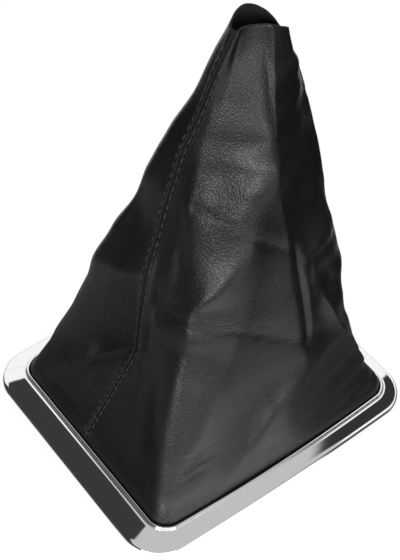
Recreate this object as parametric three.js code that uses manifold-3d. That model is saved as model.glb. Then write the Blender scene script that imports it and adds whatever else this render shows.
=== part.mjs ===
// Gear lever gaiter: a sewn leatherette sleeve held in a chrome-plated bezel by a retaining frame
// that drops into the console. Millimetres, +Z up, origin under the middle of the bezel at the
// level of the retaining frame's lowest edge.
import * as THREE from 'three';
import Module from 'manifold-3d';
import { mergeVertices } from 'three/addons/utils/BufferGeometryUtils.js';

const wasm = await Module();
wasm.setup();

// Clearances
const seatGap = 0.3;
const screwGap = 0.25;

// Bezel: the lip is the bright inner edge that surrounds the leather
const lipLength = 130;
const lipWidth = 104;
const lipHeight = 5.9;
const lipThickness = 1.6;
const lipStep = 1.1;
const lipRound = 0.5;
const lipFillet = 0.25;
const footFillet = 1.2;
const edgeBreak = 0.3;
const lipCornerRadius = 8;
const lipLongBow = 2.1;
const bezelCornerRadius = 16;
const bezelLongBow = 1.5;
const bandLeft = 11.2;
const bandRight = 8.8;
const bandFront = 7.6;
const bandBack = 8.6;
const bandWall = 1.9;
const skirtHeight = 1.7;
const skirtRounding = 0.9;
const ribWidth = 4.4;
const ribBase = 1.2;

// Retaining frame and its fixings
const collarDepth = 7.5;
const collarWall = 1.5;
const clampPlate = 2.2;
const screwDiameter = 2.2;
const screwHeadDiameter = 4;
const screwHeadHeight = 1.3;
const screwGrip = 2.4;
const screwInset = 1.4;
const slotWidth = 0.7;
const slotDepth = 0.5;
const clipWidth = 9;
const clipSteel = 0.6;
const clipReach = 3.9;
const clipKneeDrop = 1.5;
const clipDrop = 3.4;
const clipReturn = 1.6;

// Leatherette sleeve
const leather = 1.2;
const sleeveHeight = 189.5;
const rimLength = 19;
const rimDepth = 16;
const flangeWidth = 4.0;
const hemUpstand = 0.6;
const baseCornerRadius = 7.5;
const softLeft = 10;
const softFront = 44;
const softRight = 20;
const softRear = 26;
const softenFrom = 0.08;
const softenOver = 0.42;
const settle = 0.03;

// Seam rows on the left face
const seamSpread = 1.9;
const threadRadius = 0.45;

const bezelBase = collarDepth;
const lipCentreX = (bandLeft - bandRight) / 2;
const lipCentreY = (bandFront - bandBack) / 2;

const rimHeight = bezelBase + lipHeight + hemUpstand + sleeveHeight;
const sleeveFoot = bezelBase + lipHeight + hemUpstand;

// The sleeve is mapped by u, which runs once round in four faces, and v, which climbs from the lip
// at 0 to the rim at 1. Corners lie at u = 0 left, 1 front, 2 right and 3 rear.
const FACES = 4;

// Rim seen from above, as shares of rimLength and rimDepth, at every half face
const rimOutline = [
  [-0.49, 0.30], [-0.585, 0.04], [-0.263, -0.07], [0.084, -0.245],
  [0.42, -0.375], [0.337, 0.0125], [0.326, 0.4125], [0.01, 0.62],
];

// Line of the seam: v, u
const seamLine = [[0, 0.465], [0.055, 0.467], [0.165, 0.50], [0.27, 0.548], [0.325, 0.542],
  [0.443, 0.527], [0.52, 0.49], [0.60, 0.452], [0.675, 0.43], [0.745, 0.40], [0.82, 0.41],
  [0.90, 0.43], [1, 0.50]];

// Folds that climb the sleeve: line points are v, u and height in mm
const uprightFolds = {
  frontRidge: { left: 8, right: 13, round: 2.2, line: [[0, 1.0, 0], [0.08, 0.985, 0.8],
    [0.2, 0.957, 1.8], [0.3, 0.96, 2.4], [0.4, 0.975, 3.0], [0.445, 0.95, 4.2], [0.52, 1.09, 4.6],
    [0.603, 1.245, 5.0], [0.66, 1.235, 3.4], [0.725, 1.21, 2.0], [0.82, 1.24, 0]] },
  leftValley: { left: 8, right: 6, round: 2.5, line: [[0.38, 0.78, 0], [0.45, 0.8, -2.6],
    [0.52, 0.8, -3.2], [0.605, 0.69, -2.6], [0.68, 0.58, -1.6], [0.78, 0.54, 0]] },
  upperSwell: { left: 8, right: 5, round: 3, line: [[0.63, 1.36, 0], [0.74, 1.35, 1.8],
    [0.86, 1.31, 1.5], [0.98, 1.26, 0]] },
  rightEdge: { left: 13, right: 3, round: 0.7, line: [[0.22, 1.61, 0], [0.285, 1.6, 3.2],
    [0.41, 1.585, 3.4], [0.535, 1.567, 4.0], [0.63, 1.5, 2.6], [0.72, 1.452, 3.2],
    [0.805, 1.475, 2.0], [0.95, 1.51, 0]] },
  pocket: { left: 2.8, right: 4, round: 1, line: [[0.27, 1.63, 0], [0.31, 1.65, -3.0],
    [0.42, 1.645, -4.0], [0.52, 1.62, -3.0], [0.57, 1.6, 0]] },
  pocketRidge: { left: 3, right: 4, round: 1, line: [[0.28, 1.68, 0], [0.33, 1.7, 1.5],
    [0.42, 1.7, 2.0], [0.5, 1.68, 0]] },
  shadowHollow: { left: 12, right: 14, round: 5, line: [[0.45, 1.76, 0], [0.55, 1.74, -2.8],
    [0.7, 1.68, -2.4], [0.85, 1.7, 0]] },
  shortRidge: { left: 3, right: 5, round: 1, line: [[0.37, 1.74, 0], [0.44, 1.735, 2.4],
    [0.5, 1.77, 0]] },
  cornerRidge: { left: 6, right: 6, round: 1, line: [[0.06, 2.04, 0], [0.13, 1.99, 3.0],
    [0.22, 1.9, 3.8], [0.328, 1.81, 3.8], [0.383, 1.785, 2.8], [0.43, 1.78, 0]] },
  rightDraw: { left: 20, right: 24, round: 8, line: [[0.01, 2.0, 0], [0.04, 2.0, -2.2],
    [0.08, 2.0, -4.2], [0.14, 2.0, -6.5], [0.23, 2.02, -6.5], [0.32, 2.0, -5.0],
    [0.41, 2.0, -3.0], [0.45, 2.0, -1.6], [0.53, 2.0, -0.6], [0.68, 2.0, 0]] },
  leftWave: { left: 16, right: 16, round: 6, line: [[0, 0, 0], [0.12, 0, -1.0], [0.22, 0, -1.0],
    [0.33, 0, -0.2], [0.4, 0, 0.8], [0.49, 0, 0.4], [0.57, 0, -1.4], [0.65, 0, -1.2],
    [0.8, 0, -2.2], [0.93, 0, 0]] },
  lowLeftHollow: { left: 12, right: 8, round: 5, line: [[0.03, 0.8, 0], [0.15, 0.78, -2.2],
    [0.3, 0.78, -2.0], [0.4, 0.8, 0]] },
  lowFrontFlat: { left: 10, right: 18, round: 6, line: [[0.08, 1.2, 0], [0.2, 1.22, -1.0],
    [0.33, 1.22, -1.2], [0.4, 1.25, 0]] },
  rearRidge: { left: 9, right: 12, round: 3, line: [[0.08, 2.5, 0], [0.24, 2.55, 2.4],
    [0.44, 2.42, 3.0], [0.62, 2.55, 2.4], [0.84, 2.5, 0]] },
  rearValley: { left: 9, right: 8, round: 3, line: [[0.14, 2.78, 0], [0.32, 2.74, -2.6],
    [0.5, 2.84, -2.8], [0.72, 2.76, 0]] },
  backRidge: { left: 10, right: 8, round: 2.5, line: [[0.1, 3.62, 0], [0.26, 3.56, 2.0],
    [0.42, 3.5, 3.2], [0.58, 3.36, 2.6], [0.8, 3.4, 0]] },
  backValley: { left: 8, right: 9, round: 3, line: [[0.2, 3.3, 0], [0.34, 3.24, -2.4],
    [0.5, 3.18, -2.8], [0.7, 3.2, 0]] },
};

// Folds that run round the sleeve: line points are u, v and height in mm
const crossFolds = {
  upperCrease: { below: 3, above: 4, round: 0.8, line: [[0.7, 0.665, 0], [0.78, 0.657, -0.6],
    [1.072, 0.65, -0.7], [1.2, 0.615, -1.0], [1.267, 0.603, -1.2], [1.42, 0.57, -1.0],
    [1.567, 0.535, -0.6], [1.6, 0.53, 0]] },
  middleCrease: { below: 3, above: 4.5, round: 0.8, line: [[0.55, 0.43, 0], [0.65, 0.43, -0.8],
    [0.84, 0.432, -1.2], [0.932, 0.428, -2.0], [1.05, 0.42, -1.4], [1.207, 0.4, -1.2],
    [1.45, 0.34, -1.2], [1.6, 0.295, -1.0], [1.66, 0.28, 0]] },
  hemSwell: { below: 8, above: 9, round: 3, line: [[1.28, 0.05, 0], [1.36, 0.075, 1.4],
    [1.53, 0.135, 2.4], [1.7, 0.16, 3.0], [1.86, 0.13, 2.2], [2.0, 0.09, 0.8], [2.15, 0.06, 0]] },
  rakeFold: { below: 6, above: 10, round: 2, line: [[1.28, 0.1, 0], [1.4, 0.17, 1.6],
    [1.5, 0.215, 2.2], [1.6, 0.26, 2.4], [1.7, 0.29, 1.6], [1.8, 0.3, 0]] },
  leftRidge: { below: 12, above: 8, round: 3.5, line: [[0.05, 0.4, 0], [0.15, 0.41, 1.4],
    [0.3, 0.43, 1.6], [0.45, 0.452, 1.0], [0.6, 0.46, 0]] },
  leftValleyAcross: { below: 10, above: 10, round: 4, line: [[0.05, 0.56, 0], [0.15, 0.55, -1.2],
    [0.3, 0.53, -1.2], [0.45, 0.52, 0]] },
  rearCrease: { below: 4, above: 7, round: 1, line: [[2.2, 0.36, 0], [2.42, 0.4, -1.4],
    [2.75, 0.42, -1.6], [2.95, 0.39, 0]] },
  backCrease: { below: 5, above: 7, round: 1, line: [[3.1, 0.52, 0], [3.35, 0.5, -1.2],
    [3.6, 0.44, -1.6], [3.9, 0.42, 0]] },
};

// Round dents: u, v, height in mm and reach in mm
const dents = [
  [1.83, 0.4, -3.5, 8],
  [1.08, 0.12, -1.6, 8],
  [0.25, 0.07, -2.2, 24],
  [1.9, 0.045, -1.5, 16],
  [0.1, 0.2, 1.2, 18],
];

const clamp = (value, low, high) => Math.min(high, Math.max(low, value));
const ease = (value) => value * value * (3 - 2 * value);
const mix = (a, b, share) => a + (b - a) * share;

// Smooth curve through a line's points, read at one place along it
function alongLine(line, place, column) {
  const last = line.length - 1;
  const at = clamp(place, line[0][0], line[last][0]);
  let i = 0;
  while (i < last - 1 && at > line[i + 1][0]) i += 1;
  const slope = (k) => {
    const a = line[Math.max(k - 1, 0)];
    const b = line[Math.min(k + 1, last)];
    return (b[column] - a[column]) / (b[0] - a[0]);
  };
  const span = line[i + 1][0] - line[i][0];
  const t = (at - line[i][0]) / span;
  const t2 = t * t;
  const t3 = t2 * t;
  return (2 * t3 - 3 * t2 + 1) * line[i][column] + (t3 - 2 * t2 + t) * span * slope(i)
    + (3 * t2 - 2 * t3) * line[i + 1][column] + (t3 - t2) * span * slope(i + 1);
}

// Height of a fold at one place along its line: level at each point, zero past both ends
function heightAlong(line, place) {
  if (place <= line[0][0] || place >= line[line.length - 1][0]) return 0;
  let i = 0;
  while (place > line[i + 1][0]) i += 1;
  const t = (place - line[i][0]) / (line[i + 1][0] - line[i][0]);
  return mix(line[i][2], line[i + 1][2], ease(t));
}

// Cross-section of a fold: a rounded crest that dies away on each side
function foldShape(distance, below, above, round) {
  const reach = distance < 0 ? below : above;
  return Math.exp(-(Math.hypot(distance, round) - round) / reach);
}

// Shortest way round from one u to another
const turnBetween = (from, to) => ((((to - from + 2) % FACES) + FACES) % FACES) - 2;

// Rectangle with a radius of its own at each corner, walked by u, and a bow on its long sides
function roundedRectangle(u, halfX, halfY, radii, longBow) {
  const turn = ((u % FACES) + FACES) % FACES;
  const side = Math.floor(turn) % FACES;
  const length = side % 2 === 0 ? 2 * halfY : 2 * halfX;
  const startRadius = radii[side];
  const endRadius = radii[(side + 1) % FACES];
  const startArc = startRadius * Math.PI / 4;
  const endArc = endRadius * Math.PI / 4;
  const straight = length - startRadius - endRadius;
  const walked = (turn - Math.floor(turn)) * (straight + startArc + endArc);
  let along = walked - startArc + startRadius;
  let inset = 0;
  if (walked < startArc) {
    const angle = Math.PI / 4 + walked / startRadius;
    along = startRadius * (1 - Math.cos(angle));
    inset = startRadius * (1 - Math.sin(angle));
  } else if (walked > startArc + straight) {
    const angle = (walked - startArc - straight) / endRadius;
    along = length - endRadius * (1 - Math.sin(angle));
    inset = endRadius * (1 - Math.cos(angle));
  }
  const bow = side % 2 === 0 ? 0 : longBow * (1 - (2 * along / length - 1) ** 2);
  const startX = [-halfX, -halfX, halfX, halfX][side];
  const startY = [halfY, -halfY, -halfY, halfY][side];
  const goX = [0, 1, 0, -1][side];
  const goY = [-1, 0, 1, 0][side];
  return [startX + goX * along + goY * (bow - inset), startY + goY * along - goX * (bow - inset)];
}

// Rim outline: a closed smooth curve through its eight points
function rimPoint(u) {
  const count = rimOutline.length;
  const place = (((u / FACES) % 1) + 1) % 1 * count;
  const i = Math.floor(place) % count;
  const t = place - Math.floor(place);
  const [a, b, c, d] = [-1, 0, 1, 2].map((k) => rimOutline[(i + k + count) % count]);
  const curve = (k) => 0.5 * (2 * b[k] + (c[k] - a[k]) * t
    + (2 * a[k] - 5 * b[k] + 4 * c[k] - d[k]) * t * t + (3 * b[k] - a[k] - 3 * c[k] + d[k]) * t ** 3);
  return [curve(0) * rimLength, curve(1) * rimDepth];
}

// The leather at the lip stands just inside the lip's inner wall
const sleeveHalfX = lipLength / 2 - lipThickness / 2 - seatGap;
const sleeveHalfY = lipWidth / 2 - lipThickness / 2 - seatGap;

// Sleeve without its folds: straight lines from the lip to the rim
function plainSleeve(u, v) {
  const soft = ease(clamp((v - softenFrom) / softenOver, 0, 1));
  const radii = [softLeft, softFront, softRight, softRear].map((r) => mix(baseCornerRadius, r, soft));
  const [footX, footY] = roundedRectangle(u, sleeveHalfX, sleeveHalfY, radii, lipLongBow * (1 - soft));
  const [topX, topY] = rimPoint(u);
  return new THREE.Vector3(
    lipCentreX + mix(footX, topX, v),
    lipCentreY + mix(footY, topY, v),
    mix(sleeveFoot, rimHeight, v),
  );
}

// Outward direction of the plain sleeve
function outward(u, v) {
  const step = 0.002;
  const low = Math.max(v - step, 0);
  const high = Math.min(v + step, 1);
  const round = plainSleeve(u + step, v).sub(plainSleeve(u - step, v));
  const climb = plainSleeve(u, high).sub(plainSleeve(u, low));
  return round.cross(climb).normalize();
}

// Mean width of a face at one height, and the length of the leather from lip to rim
const faceWidthAt = (v) => mix(lipLength + lipWidth, rimLength + rimDepth, v) / 2;
const climbLength = Math.hypot(sleeveHeight, lipLength / 2);

// Sum of the folds at one place, in mm along the outward direction
function foldRelief(u, v) {
  const faceWidth = faceWidthAt(v);
  let relief = 0;
  for (const fold of Object.values(uprightFolds)) {
    const distance = turnBetween(alongLine(fold.line, v, 1), u) * faceWidth;
    relief += heightAlong(fold.line, v) * foldShape(distance, fold.left, fold.right, fold.round);
  }
  for (const fold of Object.values(crossFolds)) {
    const place = fold.line[0][0] + ((((u - fold.line[0][0]) % FACES) + FACES) % FACES);
    const distance = (v - alongLine(fold.line, place, 1)) * climbLength;
    relief += heightAlong(fold.line, place) * foldShape(distance, fold.below, fold.above, fold.round);
  }
  for (const [dentU, dentV, height, reach] of dents) {
    const across = turnBetween(dentU, u) * faceWidth;
    const up = (v - dentV) * climbLength;
    relief += height * Math.exp(-(across * across + up * up) / (reach * reach));
  }
  return relief * clamp(v / settle, 0, 1);
}

function sleevePoint(u, v) {
  return plainSleeve(u, v).addScaledVector(outward(u, v), foldRelief(u, v));
}

// Closed body from rings of points: each ring is closed, and the last ring meets the first
function bodyFromRings(rings) {
  const count = rings[0].length;
  const positions = [];
  rings.forEach((ring) => ring.forEach((point) => positions.push(point.x, point.y, point.z)));
  const indices = [];
  rings.forEach((ring, i) => {
    const next = (i + 1) % rings.length;
    for (let j = 0; j < count; j += 1) {
      const k = (j + 1) % count;
      const [a, b, c, d] = [i * count + j, i * count + k, next * count + k, next * count + j];
      indices.push(a, b, c, a, c, d);
    }
  });
  const geometry = new THREE.BufferGeometry();
  geometry.setAttribute('position', new THREE.Float32BufferAttribute(positions, 3));
  geometry.setIndex(indices);
  return geometry;
}

// Closed strand from rings, capped at both ends by a fan
function strandFromRings(rings) {
  const count = rings[0].length;
  const positions = [];
  rings.forEach((ring) => ring.forEach((point) => positions.push(point.x, point.y, point.z)));
  const indices = [];
  for (let i = 0; i < rings.length - 1; i += 1) {
    for (let j = 0; j < count; j += 1) {
      const k = (j + 1) % count;
      const [a, b, c, d] = [i * count + j, i * count + k, (i + 1) * count + k, (i + 1) * count + j];
      indices.push(a, b, c, a, c, d);
    }
  }
  const last = (rings.length - 1) * count;
  for (let j = 1; j < count - 1; j += 1) {
    indices.push(0, j + 1, j);
    indices.push(last, last + j, last + j + 1);
  }
  const geometry = new THREE.BufferGeometry();
  geometry.setAttribute('position', new THREE.Float32BufferAttribute(positions, 3));
  geometry.setIndex(indices);
  return geometry;
}

// Booleans on closed geometries
function toSolid(geometry) {
  const bare = geometry.clone();
  bare.deleteAttribute('normal');
  bare.deleteAttribute('uv');
  const merged = mergeVertices(bare, 1e-4);
  return new wasm.Manifold(new wasm.Mesh({
    numProp: 3,
    vertProperties: new Float32Array(merged.attributes.position.array),
    triVerts: new Uint32Array(merged.index.array),
  }));
}

function toGeometry(solid) {
  const mesh = solid.getMesh();
  const geometry = new THREE.BufferGeometry();
  geometry.setAttribute('position', new THREE.BufferAttribute(new Float32Array(mesh.vertProperties), 3));
  geometry.setIndex(new THREE.BufferAttribute(new Uint32Array(mesh.triVerts), 1));
  return geometry;
}

function cutAll(geometry, tools) {
  return toGeometry(tools.reduce((solid, tool) => solid.subtract(toSolid(tool)), toSolid(geometry)));
}

// Materials
const finish = (color, roughness, metalness) => new THREE.MeshStandardMaterial({ color, roughness, metalness });
const chrome = finish(0xd8dadc, 0.08, 1);
const leatherette = finish(0x1b1b1d, 0.5, 0);
const plastic = finish(0x17181a, 0.6, 0);
const thread = finish(0x222224, 0.8, 0);
const steel = finish(0x9a9da0, 0.35, 1);

const gaiter = new THREE.Group();
function addPiece(name, geometry, material) {
  const mesh = new THREE.Mesh(geometry, material);
  mesh.name = name;
  gaiter.add(mesh);
  return mesh;
}

// Outlines of the bezel: the lip, moved outwards by an offset, and the outer edge, moved inwards
function lipOutline(u, offset) {
  const radius = lipCornerRadius + offset;
  const [x, y] = roundedRectangle(u, lipLength / 2 + offset, lipWidth / 2 + offset,
    [radius, radius, radius, radius], lipLongBow);
  return [lipCentreX + x, lipCentreY + y];
}

const bezelHalfX = (lipLength + bandLeft + bandRight) / 2;
const bezelHalfY = (lipWidth + bandFront + bandBack) / 2;
function bezelOutline(u, inset) {
  const radius = bezelCornerRadius - inset;
  return roundedRectangle(u, bezelHalfX - inset, bezelHalfY - inset,
    [radius, radius, radius, radius], bezelLongBow);
}

// Places round a ring: more of them in the corners than on the sides
const cornerShare = 0.12;
const cornerSteps = 3;
const sideSteps = 6;
const ringPlaces = [];
for (let side = 0; side < FACES; side += 1) {
  for (let i = 0; i < cornerSteps; i += 1) ringPlaces.push(side + cornerShare * i / cornerSteps);
  for (let i = 0; i < sideSteps; i += 1) {
    ringPlaces.push(side + cornerShare + (1 - 2 * cornerShare) * i / sideSteps);
  }
  for (let i = 0; i < cornerSteps; i += 1) {
    ringPlaces.push(side + 1 - cornerShare + cornerShare * i / cornerSteps);
  }
}

const lipHalf = lipThickness / 2;
const bandTop = lipHeight - lipStep;

// A ring is a place between the lip outline and the outer edge, with a height over the bezel's base
const lipRing = (offset, height) => ringPlaces.map((u) => {
  const [x, y] = lipOutline(u, offset);
  return new THREE.Vector3(x, y, bezelBase + height);
});
const edgeRing = (inset, height) => ringPlaces.map((u) => {
  const [x, y] = bezelOutline(u, inset);
  return new THREE.Vector3(x, y, bezelBase + height);
});

// Screws stand in the clamped flange, two on each side; those on the short sides carry the clips
const screwPlaces = [0.25, 0.75, 1.25, 1.75, 2.25, 2.75, 3.25, 3.75];
const carriesClip = (u) => Math.floor(u) % 2 === 0;
const flangeTop = ribBase - seatGap;
const flangeBottom = flangeTop - leather;
const clampTop = flangeBottom - seatGap;
const clampBottom = clampTop - clampPlate;
const clipTop = clampBottom - seatGap;
const clipTail = screwHeadDiameter / 2;
const screwLength = screwGrip - clampBottom + seatGap;

function screwHole(u, radius, low, high) {
  const [x, y] = lipOutline(u, screwInset);
  const hole = new THREE.CylinderGeometry(radius, radius, high - low, 10);
  hole.rotateX(Math.PI / 2);
  hole.translate(x, y, bezelBase + (low + high) / 2);
  return hole;
}
const screwHoles = screwPlaces.map((u) => screwHole(u, screwDiameter / 2 + screwGap,
  clampBottom - 1, screwGrip + seatGap));

// Chrome-plated bezel, with a rib under its inner edge that takes the screws
function buildBezel() {
  const bandRise = bandTop - skirtHeight;
  const rings = [
    lipRing(-lipHalf, ribBase),
    lipRing(-lipHalf, lipHeight - lipRound),
    lipRing(-lipHalf * 0.6, lipHeight - lipRound * 0.2),
    lipRing(0, lipHeight),
    lipRing(lipHalf * 0.6, lipHeight - lipRound * 0.2),
    lipRing(lipHalf, lipHeight - lipRound),
    lipRing(lipHalf + lipFillet, bandTop),
    lipRing(lipHalf + footFillet, bandTop - bandRise / 8),
    edgeRing(skirtRounding, skirtHeight),
    edgeRing(skirtRounding * 0.3, skirtHeight - skirtRounding * 0.3),
    edgeRing(0, skirtHeight - skirtRounding),
    edgeRing(0, edgeBreak),
    edgeRing(edgeBreak, 0),
    edgeRing(bandWall, 0),
    edgeRing(bandWall, edgeBreak),
    lipRing(ribWidth, bandTop - bandWall - bandRise / 2),
    lipRing(ribWidth, ribBase),
  ];
  rings.reverse();
  return cutAll(bodyFromRings(rings), screwHoles);
}

// Columns of the sleeve follow the seam, the front ridge and the right-hand edge up the leather
const seamAt = (v) => alongLine(seamLine, v, 1);
const seamSide = (v) => seamSpread / faceWidthAt(v);
const sleeveColumns = [
  [7, () => 0],
  [1, (v) => seamAt(v) - seamSide(v)],
  [1, seamAt],
  [8, (v) => seamAt(v) + seamSide(v)],
  [9, (v) => alongLine(uprightFolds.frontRidge.line, v, 1)],
  [14, (v) => alongLine(uprightFolds.rightEdge.line, v, 1)],
  [10, () => 2],
  [11, () => 3],
];
function columnPlaces(v) {
  const starts = sleeveColumns.map(([, at]) => at(v));
  return sleeveColumns.flatMap(([steps], i) => {
    const end = i + 1 < starts.length ? starts[i + 1] : FACES;
    return Array.from({ length: steps }, (_, k) => mix(starts[i], end, k / steps));
  });
}

const sleeveRows = 32;
const outerRows = Array.from({ length: sleeveRows + 1 }, (_, i) => {
  const v = i / sleeveRows;
  return columnPlaces(v).map((u) => sleevePoint(u, v));
});

// Outward direction of the folded surface at each point of its grid
const outerNormals = outerRows.map((row, i) => row.map((_, j) => {
  const left = row[(j - 1 + row.length) % row.length];
  const right = row[(j + 1) % row.length];
  const below = outerRows[Math.max(i - 1, 0)][j];
  const above = outerRows[Math.min(i + 1, sleeveRows)][j];
  return right.clone().sub(left).cross(above.clone().sub(below)).normalize();
}));

// Foot of the sleeve: down inside the lip, then out under the rib as a clamped flange
function footRing(offset, height) {
  return columnPlaces(0).map((u) => {
    const [x, y] = roundedRectangle(u, sleeveHalfX + offset, sleeveHalfY + offset,
      Array(FACES).fill(Math.max(baseCornerRadius + offset, 1)), lipLongBow);
    return new THREE.Vector3(lipCentreX + x, lipCentreY + y, bezelBase + height);
  });
}

function buildSleeve() {
  const inner = outerRows.map((row, i) => row.map((point, j) => {
    const normal = outerNormals[i][j].clone();
    if (i === 0) normal.setZ(0).normalize();
    return point.clone().addScaledVector(normal, -leather);
  }));
  inner[sleeveRows].forEach((point) => point.setZ(rimHeight));
  const flangeEnd = flangeWidth + lipThickness / 2;
  const rings = [
    footRing(flangeEnd, flangeBottom),
    footRing(flangeEnd, flangeTop),
    footRing(0, flangeTop),
    ...outerRows,
    ...inner.reverse(),
    footRing(-leather, flangeBottom),
  ];
  return cutAll(bodyFromRings(rings), screwHoles);
}

// Retaining frame: a flat clamp plate with a collar at its inner edge that drops into the console
const collarOuter = screwInset - screwHeadDiameter / 2 - seatGap;
const collarInner = collarOuter - collarWall;
const clampOuter = flangeWidth - seatGap;

function buildRetainingFrame() {
  const rings = [
    lipRing(collarInner, clampTop),
    lipRing(clampOuter, clampTop),
    lipRing(clampOuter, clampBottom),
    lipRing(collarOuter, clampBottom),
    lipRing(collarOuter, -collarDepth),
    lipRing(collarInner, -collarDepth),
  ];
  rings.reverse();
  return cutAll(bodyFromRings(rings), screwHoles);
}

// Pan-head screw, driven up from below
function buildScrew(u) {
  const [x, y] = lipOutline(u, screwInset);
  const headTop = (carriesClip(u) ? clipTop - clipSteel : clampBottom) - seatGap;
  const tip = headTop + screwLength;
  const headBottom = headTop - screwHeadHeight;
  const profile = [
    new THREE.Vector2(0, headBottom),
    new THREE.Vector2(screwHeadDiameter * 0.32, headBottom),
    new THREE.Vector2(screwHeadDiameter / 2, headBottom + screwHeadHeight * 0.45),
    new THREE.Vector2(screwHeadDiameter / 2, headTop),
    new THREE.Vector2(screwDiameter / 2, headTop),
    new THREE.Vector2(screwDiameter / 2, tip - screwDiameter / 2),
    new THREE.Vector2(0, tip),
  ];
  const screw = new THREE.LatheGeometry(profile, 10);
  screw.rotateX(Math.PI / 2);
  screw.translate(x, y, bezelBase);
  const slot = new THREE.BoxGeometry(screwHeadDiameter * 0.7, slotWidth, 2 * slotDepth);
  slot.translate(x, y, bezelBase + headBottom);
  return cutAll(screw, [slot]);
}

// Outline point and the outward direction there
function lipFrame(u, offset) {
  const [x, y] = lipOutline(u, offset);
  const [beforeX, beforeY] = lipOutline(u - 0.01, offset);
  const [afterX, afterY] = lipOutline(u + 0.01, offset);
  return { x, y, angle: Math.atan2(beforeX - afterX, afterY - beforeY) };
}

// Spring clip: a steel strip under the clamp plate whose knee snaps behind the console's edge
function buildClip(u) {
  const strip = new THREE.Shape();
  strip.moveTo(-clipTail, 0);
  strip.lineTo(-clipTail, -clipSteel);
  strip.lineTo(clipReach - clipKneeDrop - clipSteel / 2, -clipSteel);
  strip.lineTo(clipReach - clipSteel * 1.3, -clipKneeDrop);
  strip.lineTo(clipReach - clipReturn - clipSteel, -clipDrop + clipSteel / 2);
  strip.lineTo(clipReach - clipReturn - clipSteel / 2, -clipDrop);
  strip.lineTo(clipReach, -clipKneeDrop);
  strip.lineTo(clipReach - clipKneeDrop, 0);
  const clip = new THREE.ExtrudeGeometry(strip, { depth: clipWidth, bevelEnabled: false });
  clip.translate(0, 0, -clipWidth / 2);
  clip.rotateX(Math.PI / 2);
  const { x, y, angle } = lipFrame(u, screwInset);
  clip.rotateZ(angle);
  clip.translate(x, y, bezelBase + clipTop);
  return cutAll(clip, [screwHole(u, screwDiameter / 2 + screwGap, clipTop - 1, clipTop + 1)]);
}

// Row of stitching: one strand laid on the leather beside the seam
function buildStitchRow(column) {
  const sides = 6;
  const lift = threadRadius + seatGap;
  const rings = outerRows.slice(1, sleeveRows).map((row, k) => {
    const i = k + 1;
    const normal = outerNormals[i][column];
    const along = outerRows[i + 1][column].clone().sub(outerRows[i - 1][column]).normalize();
    const side = along.clone().cross(normal).normalize();
    const up = side.clone().cross(along).normalize();
    const centre = row[column].clone().addScaledVector(up, lift);
    return Array.from({ length: sides }, (_, s) => {
      const angle = 2 * Math.PI * s / sides;
      return centre.clone()
        .addScaledVector(side, -threadRadius * Math.cos(angle))
        .addScaledVector(up, threadRadius * Math.sin(angle));
    });
  });
  return strandFromRings(rings);
}

const seamColumn = sleeveColumns[0][0] + 1;

addPiece('chrome_bezel', buildBezel(), chrome);
addPiece('leather_sleeve', buildSleeve(), leatherette);
addPiece('retaining_frame', buildRetainingFrame(), plastic);
addPiece('stitch_row_left', buildStitchRow(seamColumn - 1), thread);
addPiece('stitch_row_right', buildStitchRow(seamColumn + 1), thread);
screwPlaces.forEach((u, i) => addPiece(`frame_screw_${i + 1}`, buildScrew(u), steel));
screwPlaces.filter(carriesClip).forEach((u, i) => addPiece(`spring_clip_${i + 1}`, buildClip(u), steel));

export default gaiter;
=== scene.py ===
"""Looks of a gear lever gaiter: leatherette sleeve, stitched seam, chrome-plated bezel and fixings."""

import logging
import math
from dataclasses import dataclass, field
from enum import Enum

import bpy
import numpy as np
from mathutils import Matrix, Vector, noise


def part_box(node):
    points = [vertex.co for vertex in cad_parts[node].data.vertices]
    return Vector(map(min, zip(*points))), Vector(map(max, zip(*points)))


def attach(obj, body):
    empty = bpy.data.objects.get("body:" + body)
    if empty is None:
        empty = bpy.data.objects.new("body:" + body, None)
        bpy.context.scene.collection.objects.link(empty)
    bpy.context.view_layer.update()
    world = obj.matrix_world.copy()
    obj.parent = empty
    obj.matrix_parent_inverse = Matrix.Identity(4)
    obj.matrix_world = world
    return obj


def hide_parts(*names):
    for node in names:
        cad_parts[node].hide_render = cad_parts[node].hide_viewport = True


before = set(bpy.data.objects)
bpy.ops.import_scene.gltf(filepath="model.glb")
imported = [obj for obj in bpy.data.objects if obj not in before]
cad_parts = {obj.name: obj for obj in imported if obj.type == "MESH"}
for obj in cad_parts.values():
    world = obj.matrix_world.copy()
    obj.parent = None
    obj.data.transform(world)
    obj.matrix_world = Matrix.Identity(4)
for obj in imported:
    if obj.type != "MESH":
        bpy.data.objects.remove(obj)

LOG = logging.getLogger("gaiter")
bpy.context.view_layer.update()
ROOT = "root"
MM = 0.001
IMAGE_HEIGHT_PX = 560
SENSOR_MM = 36.0

# Faces of the sleeve and the bezel: places round them run from 0 at the left corner to 4
FACES = 4

# Level of the bezel's lower edge over the retaining frame's lowest edge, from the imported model
BEZEL_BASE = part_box("chrome_bezel")[0].z / MM


class Slot(Enum):
    """The record's material slots that the pieces take their finish from."""

    CHROME = "bezel_chrome"
    LEATHER = "leatherette"
    PLASTIC = "frame_plastic"
    THREAD = "seam_thread"
    STEEL = "fixing_steel"


class Side(Enum):
    """The two rows of topstitching, by the side of the seam that they lie on."""

    LEFT = -1
    RIGHT = 1


def linear(hex_colour: str, alpha: float = 1.0) -> tuple[float, float, float, float]:
    """Turn an sRGB hex colour to linear light.

    Args:
        hex_colour: The colour as six hex digits.
        alpha: The alpha that goes with it.

    Returns:
        Red, green, blue and alpha in linear light.
    """
    channels = [int(hex_colour[i:i + 2], 16) / 255 for i in (0, 2, 4)]
    red, green, blue = (c / 12.92 if c <= 0.04045 else ((c + 0.055) / 1.055) ** 2.4 for c in channels)
    return (red, green, blue, alpha)


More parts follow.
